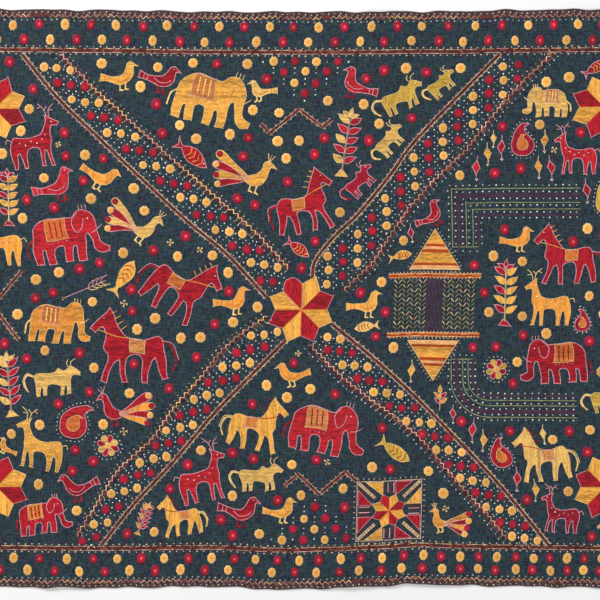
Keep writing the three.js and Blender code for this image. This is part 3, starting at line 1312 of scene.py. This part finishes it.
# %% Motifs made of parts
def filled(outline, thread="main"):
    return Part("fill", smooth(outline, closed=True), thread)


def line(thread, *places):
    return Part("line", np.array(places, float), thread)


def curve(thread, *places):
    return Part("line", smooth(places), thread)


def knots(thread, *places):
    return Part("knots", np.array(places, float), thread)


def two_legs(left, right, top):
    return [line("main", (x, top), (x - 1, top - 17), (x + 8, top - 20)) for x in (left, right)]


def bird():
    wing = curve("seam", (-16, 2), (2, -8), (22, -3), (30, 6))
    bars = [line("seam", (-44, 13), (-46, -6)), line("seam", (-34, 9), (-36, -6))]
    return [filled(BIRD), wing, *bars, *two_legs(2, 18, -16), knots("white", (35, 40))]


def peacock():
    feathers, eyes = [], []
    for i in range(4):
        turn = 163 + 17 * i
        feathers.append(filled(shape(FEATHER, 1.0 - 0.06 * i, turn, (-8, -4)), ("main", "other")[i % 2]))
        eyes.append(Part("disc", shape([(98 - 5 * i, 0)], 1, turn, (-8, -4)), ("other", "main")[i % 2]))
    crest = [line("rim", (24, 60), (x, 76)) for x in (16, 24, 32)]
    tufts = knots("rim", (15, 79), (24, 80), (33, 79))
    body = [filled(PEACOCK), *crest, tufts, *two_legs(4, 20, -15), knots("white", (27, 54))]
    return [*feathers, *eyes, *body]


def cow():
    horns = [curve("rim", (53, 40), (55, 54), (66, 60)), curve("rim", (48, 38), (42, 52), (46, 62))]
    tail = curve("main", (-56, 20), (-76, 26), (-88, 10), (-84, -10), (-76, -22))
    tail_rim = curve("rim", (-56, 23), (-77, 30), (-92, 11), (-88, -10))
    return [filled(COW), *horns, tail, tail_rim, knots("white", (62, 27))]


def deer():
    antlers = [curve("rim", (44, 80), (40, 100), (26, 116)), curve("rim", (50, 78), (54, 100), (68, 114))]
    tines = [line("rim", (40, 98), (50, 108)), line("rim", (34, 108), (24, 104))]
    tines.append(line("rim", (54, 98), (66, 98)))
    spots = knots("white", (-40, 16), (-24, 8), (-8, 16), (8, 8), (24, 18), (36, 30), (56, 66))
    return [filled(DEER), *antlers, *tines, spots, curve("rim", (-62, 20), (-74, 26), (-80, 16))]


def horse():
    mane = [line("other", (22 + 7 * i, 46 + 11 * i), (12 + 7 * i, 52 + 11 * i)) for i in range(4)]
    tail = curve("main", (-62, 18), (-80, 12), (-88, -14), (-84, -36))
    saddle = filled(corners((-26, 25), (6, 27), (4, 0), (-26, -2)), "other")
    rein = curve("other", (68, 44), (44, 36), (6, 27))
    tail_rim = curve("rim", (-60, 22), (-84, 16), (-93, -14))
    return [filled(HORSE), saddle, *mane, tail, tail_rim, rein, knots("white", (58, 68))]


def elephant():
    ear = curve("seam", (38, 58), (24, 40), (32, 16), (46, 24), (50, 44))
    tusk = curve("rim", (66, 10), (78, 14), (90, 24))
    stripes = [line("main", (x, 45), (x + 1, 10)) for x in (-26, -14, -2)]
    fringe = Part("dots", np.array([(-38, -2), (12, -2)], float), "rim")
    tail = curve("main", (-68, 10), (-80, -4), (-80, -28))
    crown = [line("rim", (x, 64), (x, 74)) for x in (46, 54, 62)]
    saddle_cloth = [filled(CLOTH_PATCH, "other"), *stripes, fringe]
    return [filled(ELEPHANT), *saddle_cloth, ear, tusk, tail, *crown, knots("white", (60, 44))]


def fish():
    scales = [curve("other", (x, -13), (x + 7, 0), (x, 13)) for x in (-14, 0, 14)]
    return [filled(FISH), *scales, curve("other", (28, -14), (34, 0), (28, 14)), knots("white", (40, 4))]


def paisley():
    ring = Part("dots", shape(smooth(PAISLEY, closed=True), 1.22, 0, (0, 1)), "white")
    heart = filled(shape(PAISLEY, 0.48, 0, (0, -6)), "other")
    return [filled(PAISLEY), heart, ring]


def tree():
    parts = [line("rim", (0, -72), (0, 66)), line("moss", (2.5, -72), (2.5, 60))]
    for i in range(5):
        foot = (0, -50 + 25 * i)
        for turn, thread in ((34, "main"), (146, "main" if i % 2 else "other")):
            parts.append(filled(shape(LEAF, 1.1, turn, foot), thread))
    top = [filled(shape(LEAF, 0.75, turn, (0, 66)), "other") for turn in (30, 90, 150)]
    root = filled(corners((-16, -84), (16, -84), (3, -68), (-3, -68)), "other")
    return [*parts, *top, root]


SPRIG_LEAVES = ((40, -14, "main"), (140, -14, "other"), (40, 6, "other"), (140, 6, "main"), (90, 22, "main"))


def sprig():
    leaves = [filled(shape(LEAF, 0.9, turn, (0, foot)), thread) for turn, foot, thread in SPRIG_LEAVES]
    return [line("rim", (0, -40), (0, 22)), *leaves]


def branch():
    twigs = []
    for i in range(4):
        for side in (-1, 1):
            x, thread = 12 * i, "pink" if side > 0 else "straw"
            twigs.append(curve(thread, (x, 0), (x + 8, 8 * side), (x + 22, 12 * side)))
    return [line("pink", (-60, 0), (50, 0)), *twigs, knots("straw", (-64, 0), (-68, 3), (-68, -3))]


def blossom():
    parts = []
    for i in range(8):
        outline = [*corners((7, 0)), (20, 9), (36, 10), (43, 0), (36, -10), (20, -9)]
        parts.append(filled(shape(outline, 1, 45 * i + 22.5), "other" if i % 2 else "main"))
    ring = Part("dots", arc(55, 0, 360, count=33), "white")
    return [*parts, Part("disc", np.array([(0.0, 0.0)]), "main"), ring]


def small_flower():
    petals = [line("straw", (2 * x, 2 * y), (7 * x, 7 * y)) for x, y in ((1, 0), (-1, 0), (0, 1), (0, -1))]
    tips = [(6.5 * x, 1.6 * y) for x in (1, -1) for y in (1, -1)]
    tips += [(1.6 * x, 6.5 * y) for y in (1, -1) for x in (1, -1)]
    return [*petals, knots("straw", *tips)]


def pendant():
    kite = filled(corners((0, 17), (9, 1), (0, -17), (-9, 1)))
    threads = [line("rim", (0, -17), (0, -27)), line("rim", (0, 17), (0, 28))]
    return [kite, *threads, knots("white", (0, -31.5), (-2.2, -29), (2.2, -29))]


# %% [markdown]
# ## Fans, ropes and the right-hand ornament
# Smaller ornaments stand between the motifs: fans of discs on the border lines, zigzag ropes, hanging
# lozenges, and a panel of green chevrons between two striped kites inside rows of dots. The panel's bars
# are orange with pale ticks, and rows of faded plum thread run down its middle. Thin moss-green lines and
# more plum rows run between the rows of dots, and a line with dots beyond it closes each lane at its inner
# end.

# %% Fans and ropes
FAN_PITCH = 49  # mm, from disc to disc in a row of a fan
FAN_RISE = 25  # mm, from one row to the next


def fan(along, across, down, first, count=4):
    """A lattice of discs and dots that stands on a border line and narrows to one disc."""
    for i in range(count):
        level = across + down * (8 + FAN_RISE * i)
        thread = first if i % 2 == 0 else other(first)
        for k in range(count - i):
            offset = (k - (count - i - 1) / 2) * FAN_PITCH
            add_disc(along + offset, level + luck.uniform(-2, 2), thread, BAND_DISC)
            thread = other(thread)
        for k in range(2 * (count - i) + 1):
            offset = (k - (count - i)) * FAN_PITCH / 2
            work["dots"].extend(dot((along + offset, level + down * (2 if k % 2 == 0 else 15.5))))


def rope(*places):
    path = np.array(places, float)
    sewn = work["band_lines"]
    for shift in (-1.2, 1.2):
        sewn.extend(uneven(stem(path, "brown", 2.4, 6.0, shift), ("brown", "brown", "rust"), 0.25))
    for shift, start in ((-5.5, 0.25), (5.5, 0.75)):
        sewn.extend(uneven(stem(path, "cream", 1.5, 5.5, shift * 0.65), ("cream", "tan", "old rose"), 0.2))
        sewn.extend(ticks_along(path, "cream", 14.0, shift, start, 4.5))


fan(12, 555, -1, "gold")
fan(32, -556, 1, "gold")
rope((-87, 404), (-67, 382), (0, 437), (55, 396), (75, 413))
rope((-39, -423), (-7, -397), (41, -444), (101, -394), (127, -417))
rope((-640, 62), (-705, -17), (-642, -96))

# %% Striped kites and the chevron panel
KITE_STRIPES = [
    (0.0, 0.1, "apricot"),
    (0.1, 0.16, "burnt orange"),
    (0.16, 0.42, "gold"),
    (0.42, 0.5, "burnt orange"),
    (0.5, 0.57, "apricot"),
    (0.57, 0.64, "burnt orange"),
    (0.64, 1.0, "gold"),
]


def striped_kite(along, across, turn, long=92.0, half=58.0):
    """A triangle with its base at the given place and its tip away from it, made of upright stripes."""
    angle = math.radians(turn)
    laid = ACROSS if abs(math.sin(angle)) < 0.5 else ALONG
    for start, end, thread in KITE_STRIPES:
        near, far = half * (1 - start), half * (1 - end)
        stripe = [(long * start, -near), (long * start, near), (long * end, far), (long * end, -far)]
        work["gold_fills"].extend(fill(turned(stripe, angle) + (along, across), laid, thread))
    edge = turned([(0, -half), (0, half), (long, 0), (0, -half)], angle) + (along, across)
    work["outlines"].extend(stem(edge, "straw", 1.6, 5.0, 0, 0.2))
    work["band_lines"].extend(ticks_along(edge, "cream", 9.0, 5.5, 0.25, 3.5))


ORANGE_ROWS = (
    (-3.9, ("apricot", "orange")),
    (-1.3, ("burnt orange",)),
    (1.3, ("burnt orange", "orange")),
    (3.9, ("apricot",)),
)


def orange_bar(*places):
    path = np.array(places, float)
    for shift, threads in ORANGE_ROWS:
        work["band_lines"].extend(uneven(stem(path, "apricot", 2.5, 7.0, shift), threads, 0.12))
    for shift, start in ((6.5, 0.25), (-6.5, 0.75)):
        work["band_lines"].extend(ticks_along(path, "cream", 8.0, shift, start, 3.5))


PANEL_PLUM = (-7.5, -4.5, -1.5, 1.5, 4.5, 7.5)  # mm, where the plum rows run in the middle of the panel


def chevrons(low, high, columns, rows):
    """Leaf-like pairs of slanted moss stitches in columns, and faded plum rows in the middle."""
    (x0, y0), (x1, y1) = low, high
    wide, tall = (x1 - x0) / columns, (y1 - y0) / rows
    for i in range(columns):
        middle = x0 + wide * (i + 0.5)
        path = np.array([(middle, y0), (middle, y1)])
        if i in (columns // 2 - 1, columns // 2):
            for shift in PANEL_PLUM:
                work["fine_lines"].extend(uneven(stem(path, "plum", 2.0, 7.0, shift), ("plum",), 0.25))
            continue
        work["fine_lines"].extend(stem(path, "brown", 1.2, 8.0, tone=-0.2))
        for k in range(rows):
            foot = y0 + tall * (k + 0.3)
            for side in (-1, 1):
                thread = ("moss", "straw", "moss")[(i + k) % 3]
                tip = (middle + side * wide * 0.42, foot + tall * 0.7)
                work["fine_lines"].append(stitch_between((middle + side * 2, foot), tip, thread, 1.8, 1.0))


LANE_DOTS = (37, 22, 6, -9, -24.5, -37.5)  # mm, from the middle of a lane to each row of its dots
LANE_LINES = ((29.5, "moss", 2.3), (-3, "moss", 2.1), (-18, "moss", 2.1))
LANE_PLUM = (10.4, 12.8, 15.2, 17.6, -29.8, -32.2)  # rows of faded plum thread, only a little off the ground
LaneEnd = namedtuple("LaneEnd", "left right level away")  # the closing line, and how far off its dots lie
LANE_ENDS = (LaneEnd(346, 406, 118, -10), LaneEnd(349, 398, -140, 9))


def dotted_lane(wide, *places):
    """Rows of dots with moss and plum lines between some of them, so many times as wide as the tables say."""
    path = np.array(places, float)
    for shift in LANE_DOTS:
        work["dots"].extend(dots_along(offset_path(path, shift * wide), "white", 15.5, 0, 0.5, 3.3))
    for shift, thread, size in LANE_LINES:
        row = stem(offset_path(path, shift * wide), thread, size, 7.0)
        work["fine_lines"].extend(uneven(row, (thread,), 0.15))
    for shift in LANE_PLUM:
        row = stem(offset_path(path, shift * wide), "plum", 2.3, 7.0)
        work["fine_lines"].extend(uneven(row, ("plum",), 0.2))


def offset_path(path, shift):
    """A path of straight legs, moved sideways so that its corners still meet."""
    legs = np.diff(path, axis=0)
    unit = legs / np.hypot(legs[:, 0], legs[:, 1])[:, None]
    side = np.column_stack((-unit[:, 1], unit[:, 0]))
    moved = [path[0] + side[0] * shift]
    moved += [place + (a + b) / (1 + a @ b) * shift for place, a, b in zip(path[1:-1], side, side[1:])]
    return np.array([*moved, path[-1] + side[-1] * shift])


chevrons((214, -74), (400, 42), 10, 11)
orange_bar((202, 52), (412, 52))
orange_bar((202, -84), (412, -84))
striped_kite(307, 66, 90)
striped_kite(307, -98, -90)
dotted_lane(1.0, (376, 118), (376, 222), (640, 222))
dotted_lane(0.82, (634, -249), *arc(60, -90, -180, (433, -189), 9), (373, -140))
for left, right, level, away in LANE_ENDS:
    work["fine_lines"].extend(stem(np.array([(left, level), (right, level)]), "moss", 2.2, 7.0))
    beyond = np.array([(left, level + away), (right + 5, level + away)])
    work["dots"].extend(dots_along(beyond, "white", 15.0, 0, 0.5, 3.3))

# %% The square panel
PANEL_CENTRE = np.array([202.0, -487.0])
PANEL_HALF = np.array([74.0, 68.0])
PANEL_THREADS = (("gold", "crimson"), ("crimson", "gold"), ("crimson", "gold"), ("crimson", "crimson"))
LADDER_ROWS = ((-5.4, "dark brown"), (-2.4, "cream"), (0.0, "moss"), (2.4, "straw"), (5.4, "dark brown"))
LADDER_ENDS = (0.44, 0.95)  # where a ladder starts and ends, as shares of the way to the corner


def ladder(start, end):
    """A pale two-railed line with rungs, between dark rows."""
    path = np.array([start, end])
    for shift, thread in LADDER_ROWS:
        work["band_lines"].extend(stem(path, thread, 2.2, 6.0, shift))
    work["band_lines"].extend(ticks_along(path, "white", 7.0, 0.0, 0.5, 5.5))


def square_panel():
    """A small star in a square, whose ladders and wedges repeat the layout of the whole cloth."""
    corner = [PANEL_CENTRE + PANEL_HALF * side for side in ((-1, -1), (1, -1), (1, 1), (-1, 1))]
    edge = closed(np.array(corner))
    work["band_lines"].extend(stem(edge, "cream", 1.8, 6.0))
    work["band_lines"].extend(ticks_along(edge, "cream", 12.0, -6.0, 0.5, 4.0))
    for far in corner:
        ladder(*(PANEL_CENTRE + (far - PANEL_CENTRE) * share for share in LADDER_ENDS))
    for i, pair in enumerate(PANEL_THREADS):
        a, b = corner[i], corner[(i + 1) % 4]
        inward = (PANEL_CENTRE - (a + b) / 2) * 0.44
        for thread, outer, inner in zip(pair, (0.14, 0.86), (0.4, 0.6)):
            foot = a + (b - a) * inner
            wedge = np.array([a + (b - a) * outer, foot, foot + inward]) + inward * 0.08
            work[thread + "_fills"].extend(fill(wedge, ACROSS if i % 2 else ALONG, thread))
            work["outlines"].extend(stem(closed(wedge), RIMS[thread], 1.5, 5.0, 0, 0.2))
        for k in range(4):
            start = a + (b - a) * (0.43 + 0.045 * k) + inward * 0.15
            thread = ("pink", "brown")[k % 2]
            work["band_lines"].append(stitch_between(start, start + inward * 0.75, thread, 2.4))
    sew_star(PANEL_CENTRE, 0.5)


square_panel()
print("with ornaments:", {name: len(rows) for name, rows in work.items() if rows})

# %% [markdown]
# ## Motifs in their places
# Each row of a table places one motif: where its middle should lie, its turn in degrees, its size, its
# colour and whether it faces the other way. They are strewn as in hand work, and none is quite upright. A
# motif that would touch what is already sewn moves to the nearest free ground, or is made smaller. A grid
# of small cells remembers which ground is taken.

# %% Sew one motif
def thread_of(role, thread):
    roles = {"main": thread, "other": other(thread), "rim": RIMS[thread], "seam": SEAMS[thread]}
    return roles.get(role, role)


def part_stitches(part, placed, thread, laid):
    """The stitches of one part, as pairs of a list's name and a stitch."""
    name = thread_of(part.thread, thread)
    if part.kind == "fill":
        rim = stem(closed(placed), RIMS[name], 1.9 if name == "crimson" else 1.4, 5.0, 0, 0.2)
        floss = fill(placed, laid, name, tone=luck.uniform(-0.05, 0.05))
        return [(name + "_fills", row) for row in floss] + [("outlines", row) for row in rim]
    if part.kind == "line":
        own = part.thread == "main"
        name = LIMBS[name] if own else name
        return [("fine_lines", row) for row in stem(placed, name, 3.4 if own else 1.7, 5.5, 0, 0.5)]
    if part.kind == "dots":
        return [("dots", row) for row in dots_along(placed, name, 9.5, size=2.6)]
    if part.kind == "knots":
        return [("dots", dot(spot, 2.8, name)[0]._replace(base=0.5)) for spot in placed]
    return [(name + "_discs", Sewn(*spot, 0, 7.5, 7.5, DISC_HIGH, 0.4, name, 0)) for spot in placed]


UNSTEADY = 1.3  # mm, how far a drawn line strays from its true course
# Floss from different dye lots, one for each motif. The last one is an odd lot, kept for small motifs.
LOTS = {
    "gold": ("gold", "gold", "deep gold", "pale floss", "gold", "deep gold", "pale floss", "olive gold"),
    "crimson": ("crimson", "crimson", "scarlet", "crimson", "wine"),
}
ODD_LOT_BELOW = 0.74  # the size up to which a motif may be sewn from the odd lot


def motif_stitches(motif, along, across, turn, size, thread, flip):
    laid = luck.choice((ALONG, ACROSS))
    mirror = np.array([-size if flip else size, size])
    phases = [luck.uniform(0, 6) for _ in range(2)]
    made = []
    for part in motif():
        placed = turned(part.shape * mirror, math.radians(turn))
        stray = np.column_stack((np.sin(placed[:, 1] / 9 + phases[0]), np.sin(placed[:, 0] / 11 + phases[1])))
        made.extend(part_stitches(part, placed + stray * UNSTEADY + (along, across), thread, laid))
    lots = {name: luck.choice(names if size < ODD_LOT_BELOW else names[:-1]) for name, names in LOTS.items()}
    for i, (name, row) in enumerate(made):
        if "fills" in name:
            made[i] = (name, row._replace(thread=lots.get(row.thread, row.thread)))
    return made


# %% Find free ground
GROUND_CELL = 4.0  # mm
ROOM = 9.0  # mm, between a motif and what is sewn around it
REACH = 84.0  # mm, how far a motif may move to find free ground
REACH_STEP = 6.0  # mm, from one try to the next
SHRINKS = (1.0, 0.88, 0.76)  # the sizes that are tried one after another
SLIMMER = {"gold": 0.87, "crimson": 0.95}  # the tables' sizes, times this
FIELD = np.array([992.0, 556.0])  # half the size of the ground inside the border lines
taken = np.zeros((round(LENGTH / GROUND_CELL), round(WIDTH / GROUND_CELL)), bool)


def cells_of(spots):
    cells = ((spots + (HALF_LENGTH, HALF_WIDTH)) / GROUND_CELL).astype(int)
    return np.clip(cells[:, 0], 0, taken.shape[0] - 1), np.clip(cells[:, 1], 0, taken.shape[1] - 1)


def offsets_within(radius, step):
    steps = np.arange(-radius, radius + step / 2, step)
    grid = np.array([(x, y) for x in steps for y in steps if math.hypot(x, y) <= radius])
    return grid[np.argsort(np.hypot(*grid.T), kind="stable")]


def take_ground(spots):
    for offset in offsets_within(ROOM, GROUND_CELL / 2):
        taken[cells_of(spots + offset)] = True


def free_offset(spots, reach):
    """The shortest move that brings all the places to free ground, or None."""
    for offset in offsets_within(reach, REACH_STEP):
        moved = spots + offset
        if (np.abs(moved) < FIELD).all() and not taken[cells_of(moved)].any():
            return offset
    return None


def place(motif, along, across, turn=0, size=1.0, thread="gold", flip=False, reach=REACH):
    """Sews a motif on free ground near its place, smaller if need be. Returns False if there is no room."""
    for shrink in SHRINKS:
        made = motif_stitches(motif, along, across, turn, size * shrink * SLIMMER[thread], thread, flip)
        spots = np.array([row[:2] for _, row in made])
        offset = free_offset(spots, reach)
        if offset is not None:
            for name, row in made:
                work[name].append(row._replace(along=row.along + offset[0], across=row.across + offset[1]))
            take_ground(spots + offset)
            return True
    return False


take_ground(np.array([row[:2] for rows in work.values() for row in rows]))
print("ground taken so far:", round(float(taken.mean()), 3))

# %% The table of motifs
Place = namedtuple("Place", "motif along across turn size thread flip", defaults=(False,))
G, C = "gold", "crimson"
TOP_FIELD = [
    Place(elephant, -212, 455, -14, 1.24, G),
    Place(bird, -425, 522, 4, 0.88, G),
    Place(bird, -352, 448, -12, 0.86, C),
    Place(peacock, -108, 272, -24, 1.0, G),
    Place(horse, 20, 200, 12, 0.98, C),
    Place(fish, -232, 330, -40, 0.85, C),
    Place(tree, 108, 352, -10, 0.96, C),
    Place(bird, 108, 505, -20, 0.86, C, True),
    Place(cow, 208, 500, 24, 0.84, G),
    Place(cow, 318, 502, 40, 0.8, G),
    Place(deer, 190, 372, 36, 0.8, C),
    Place(cow, 268, 408, 46, 0.66, G),
    Place(cow, 150, 268, 44, 0.7, C),
    Place(fish, -48, 160, -34, 0.8, C),
    Place(paisley, -2, 96, -12, 0.6, G),
]
LEFT_FIELD = [
    Place(deer, -612, 352, 8, 0.86, C),
    Place(bird, -460, 278, -30, 0.9, G),
    Place(bird, -560, 252, 14, 0.95, C),
    Place(tree, -668, 228, 0, 0.86, G),
    Place(peacock, -362, 165, -36, 0.92, G),
    Place(elephant, -520, 132, 8, 1.08, C),
    Place(horse, -282, 24, -30, 1.08, C),
    Place(fish, -392, 52, 56, 0.9, G),
    Place(bird, -150, -2, 6, 0.86, G),
    Place(deer, -632, 70, 0, 0.9, G, True),
    Place(small_flower, -300, 130, 0, 1.1, G),
    Place(small_flower, -232, 112, 45, 1.1, G),
    Place(elephant, -560, -60, -4, 0.96, G),
    Place(branch, -470, 12, 24, 0.95, C),
    Place(horse, -448, -122, 0, 1.2, C, True),
    Place(paisley, -322, -72, 34, 0.95, G),
    Place(cow, -222, -88, -18, 0.82, C),
    Place(tree, -664, -198, 4, 0.9, C),
    Place(cow, -560, -190, 6, 0.9, G),
    Place(peacock, -352, -218, 14, 0.84, C, True),
    Place(paisley, -480, -262, -28, 0.84, C),
    Place(blossom, -405, -330, 0, 0.66, G),
    Place(deer, -590, -322, -10, 0.9, G, True),
    Place(bird, -490, -402, 16, 0.84, C, True),
    Place(elephant, -596, -480, 8, 0.84, C),
]
LOWER_FIELD = [
    Place(small_flower, 0, -122, 0, 1.0, G),
    Place(bird, -12, -172, 8, 0.8, G, True),
    Place(horse, -122, -268, -8, 0.98, G),
    Place(elephant, 36, -282, -12, 1.08, C),
    Place(paisley, 150, -262, -34, 1.0, C),
    Place(deer, -226, -352, 12, 0.86, C),
    Place(cow, -98, -378, 6, 0.84, G),
    Place(fish, 216, -352, -38, 0.85, G),
    Place(horse, -272, -462, 6, 0.96, G, True),
    Place(bird, -148, -452, -8, 0.9, C),
    Place(peacock, 356, -476, 8, 0.78, G, True),
    Place(tree, -372, -498, -20, 0.62, C),
    Place(bird, -72, -520, 0, 0.8, G),
    Place(bird, 400, -530, 0, 0.5, C),
    Place(cow, -150, -520, 0, 0.7, C, True),
]
RIGHT_FIELD = [
    Place(bird, 148, -16, 4, 0.84, G),
    Place(bird, 262, 168, 30, 0.8, C),
    Place(horse, 610, 112, 0, 0.96, C, True),
    Place(deer, 612, -20, 0, 0.86, G, True),
    Place(elephant, 596, -150, 4, 0.96, C, True),
    Place(tree, 470, 10, 0, 1.0, G),
    Place(blossom, 452, -162, 0, 0.62, G),
    Place(bird, 500, 130, 0, 0.8, G),
    Place(elephant, 596, 505, 0, 0.7, G, True),
    Place(deer, 636, 352, 0, 0.7, C, True),
    Place(paisley, 528, 412, 10, 0.7, C),
    Place(horse, 606, -368, 4, 0.96, G, True),
    Place(deer, 536, -452, -4, 0.66, C, True),
    Place(bird, 262, -208, 0, 0.84, C, True),
    Place(fish, 210, 104, 12, 0.7, G),
    Place(cow, 640, -525, 0, 0.6, G, True),
    Place(paisley, 462, -360, 26, 0.72, C),
]
END_MOTIFS = [
    Place(elephant, 885, 500, 0, 0.9, G),
    Place(bird, 790, 522, 6, 0.72, C),
    Place(tree, 955, 400, 0, 0.8, C),
    Place(peacock, 880, 358, 8, 0.85, G),
    Place(cow, 800, 262, -6, 0.85, C),
    Place(deer, 915, 232, 0, 0.8, G),
    Place(paisley, 718, 262, 20, 0.8, G),
    Place(horse, 850, 118, 0, 0.9, C),
    Place(fish, 958, 120, 80, 0.8, G),
    Place(blossom, 945, 18, 0, 0.85, C),
    Place(elephant, 822, 0, 4, 0.95, G),
    Place(tree, 712, 20, 0, 0.8, C),
    Place(bird, 900, -80, 0, 0.85, G),
    Place(peacock, 842, -152, 6, 0.8, C),
    Place(deer, 952, -190, 0, 0.75, G),
    Place(cow, 745, -190, 8, 0.8, G),
    Place(paisley, 870, -282, -24, 0.9, C),
    Place(horse, 950, -340, 0, 0.8, G),
    Place(bird, 780, -300, 10, 0.75, G),
    Place(elephant, 868, -430, 0, 0.84, C),
    Place(tree, 968, -475, 0, 0.7, G),
    Place(bird, 800, -522, 0, 0.78, C),
]
END_SHIFT = 14  # mm, how much lower the motifs of the left end lie than those of the right
FILLERS = ((bird, 0.6), (fish, 0.6), (paisley, 0.5), (small_flower, 1.1), (cow, 0.5), (sprig, 0.8))
FILLER_TRIES = 150
FILLER_REACH = 12.0  # mm


def place_all():
    for row in (*TOP_FIELD, *LEFT_FIELD, *LOWER_FIELD, *RIGHT_FIELD):
        place(*row)
    for row in END_MOTIFS:
        place(*row)
        thread = other(row.thread)
        place(row.motif, -row.along, row.across - END_SHIFT, -row.turn, row.size, thread, not row.flip)


def strew_motifs():
    """Small motifs wherever there is still room for one."""
    count = 0
    for _ in range(FILLER_TRIES):
        spot = (luck.uniform(-FIELD[0], FIELD[0]), luck.uniform(-FIELD[1], FIELD[1]))
        motif, size = luck.choice(FILLERS)
        size *= luck.uniform(0.85, 1.15)
        turn, thread, flip = luck.uniform(-40, 40), luck.choice((G, C)), luck.random() < 0.5
        count += place(motif, *spot, turn, size, thread, flip, FILLER_REACH)
    return count


place_all()
print("small motifs:", strew_motifs())
print("with motifs:", {name: len(rows) for name, rows in work.items() if rows})

# %% Pendants
PENDANT_ROWS = [
    (470, 345, C), (432, 330, G), (400, 300, C), (470, 300, G), (540, 318, C), (575, 300, G),
    (440, 395, G), (650, 300, C), (300, 215, C), (335, 240, G), (385, 235, C), (300, -215, G),
    (395, -225, C), (345, -240, C), (520, -315, G), (500, -365, C), (560, -390, G), (400, -350, G),
]
for along, across, thread in PENDANT_ROWS:
    place(pendant, along, across, luck.uniform(-6, 6), 1.0, thread)

# %% [markdown]
# ## Scattered discs
# Whatever ground is left gets discs, gold and crimson mixed, a hand's breadth or less apart. Places are
# tried at random with a fixed seed. A place is taken if it is clear of all stitches and of the other discs,
# and its thread is the one that is rarer among its neighbours.

# %% Strew the discs
CLEAR = 17.5  # mm, from a disc's middle to the nearest stitch
APART = 42.0  # mm, from disc to disc
TRIES = 20000
NEIGHBOURS = 100.0  # mm, within which discs count as neighbours
DISC_FIELD = (985, 545)  # mm, half the size of the ground that they are strewn on


def tree_of(spots):
    found = KDTree(len(spots))
    for i, (x, y) in enumerate(spots):
        found.insert((x, y, 0), i)
    found.balance()
    return found


def strew_discs():
    names = ("gold_fills", "crimson_fills", "outlines", "fine_lines", "border_lines", "band_lines", "dots")
    stitches = tree_of([row[:2] for name in names for row in work[name]])
    sewn = [(row.along, row.across, thread) for thread in (G, C) for row in work[thread + "_discs"]]
    discs = np.array([row[:2] for row in sewn])
    threads = [row[2] for row in sewn]
    before = len(discs)
    for _ in range(TRIES):
        spot = np.array([luck.uniform(-half, half) for half in DISC_FIELD])
        gaps = np.hypot(*(discs - spot).T)
        if gaps.min() < APART or stitches.find((*spot, 0))[2] < CLEAR:
            continue
        near = [threads[i] for i in np.flatnonzero(gaps < NEIGHBOURS)]
        gold, crimson = near.count(G), near.count(C)
        thread = C if gold > crimson or (gold == crimson and luck.random() < 0.5) else G
        add_disc(*spot, thread)
        discs = np.vstack((discs, spot))
        threads.append(thread)
    return len(discs) - before


print("strewn discs:", strew_discs())

# %% [markdown]
# ## Hems
# Each end is folded under and held by a row of running stitches in blue cotton.

# %% Sew the hems
HEM_STITCH = 5.0  # mm, the length of a running stitch
HEM_PITCH = 9.0  # mm, from one to the next
HEM_SEAM = 2.2  # mm, from the inner edge of the hem to the stitches
HEM_END = 8  # mm, from the selvedge to the first stitch


def sew_hems():
    for side in (-1, 1):
        along = side * (HALF_LENGTH - HEM + HEM_SEAM)
        for across in np.arange(-HALF_WIDTH + HEM_END, HALF_WIDTH - HEM_END, HEM_PITCH):
            spot = (along + luck.uniform(-0.4, 0.4), across + luck.uniform(-0.6, 0.6))
            tone = luck.uniform(-0.1, 0.1)
            row = Sewn(*spot, math.pi / 2, HEM_STITCH, 1.1, 0.5, HEM_HEIGHT, "hem blue", tone)
            work["hem_stitches"].append(row)


sew_hems()

# %% [markdown]
# ## Make the pieces
# Each list of stitches becomes one mesh. Silk goes to the fills, the discs and the selvedge's zigzag,
# cotton to the rest.

# %% Sew every list
PIECES = [
    ("gold_fills", FLOAT, FLOSS_SILK, "gold_floss"),
    ("crimson_fills", FLOAT, FLOSS_SILK, "crimson_floss"),
    ("outlines", FLOAT, COTTON_THREAD, "pale_thread"),
    ("fine_lines", FLOAT, COTTON_THREAD, "pale_thread"),
    ("border_lines", FLOAT, COTTON_THREAD, "pale_thread"),
    ("band_lines", FLOAT, COTTON_THREAD, "pale_thread"),
    ("selvedge_zigzag", FLOAT, FLOSS_SILK, "pale_thread"),
    ("dots", KNOT, COTTON_THREAD, "pale_thread"),
    ("gold_discs", DISC, FLOSS_SILK, "gold_floss"),
    ("crimson_discs", DISC, FLOSS_SILK, "crimson_floss"),
    ("hem_stitches", FLOAT, COTTON_THREAD, "pale_thread"),
]
embroidery = [sew(name, stitch, work[name], material) for name, stitch, material, slot in PIECES]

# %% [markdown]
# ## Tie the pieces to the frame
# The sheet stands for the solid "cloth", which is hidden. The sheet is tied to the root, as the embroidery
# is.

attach(cloth, "root")
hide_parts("cloth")
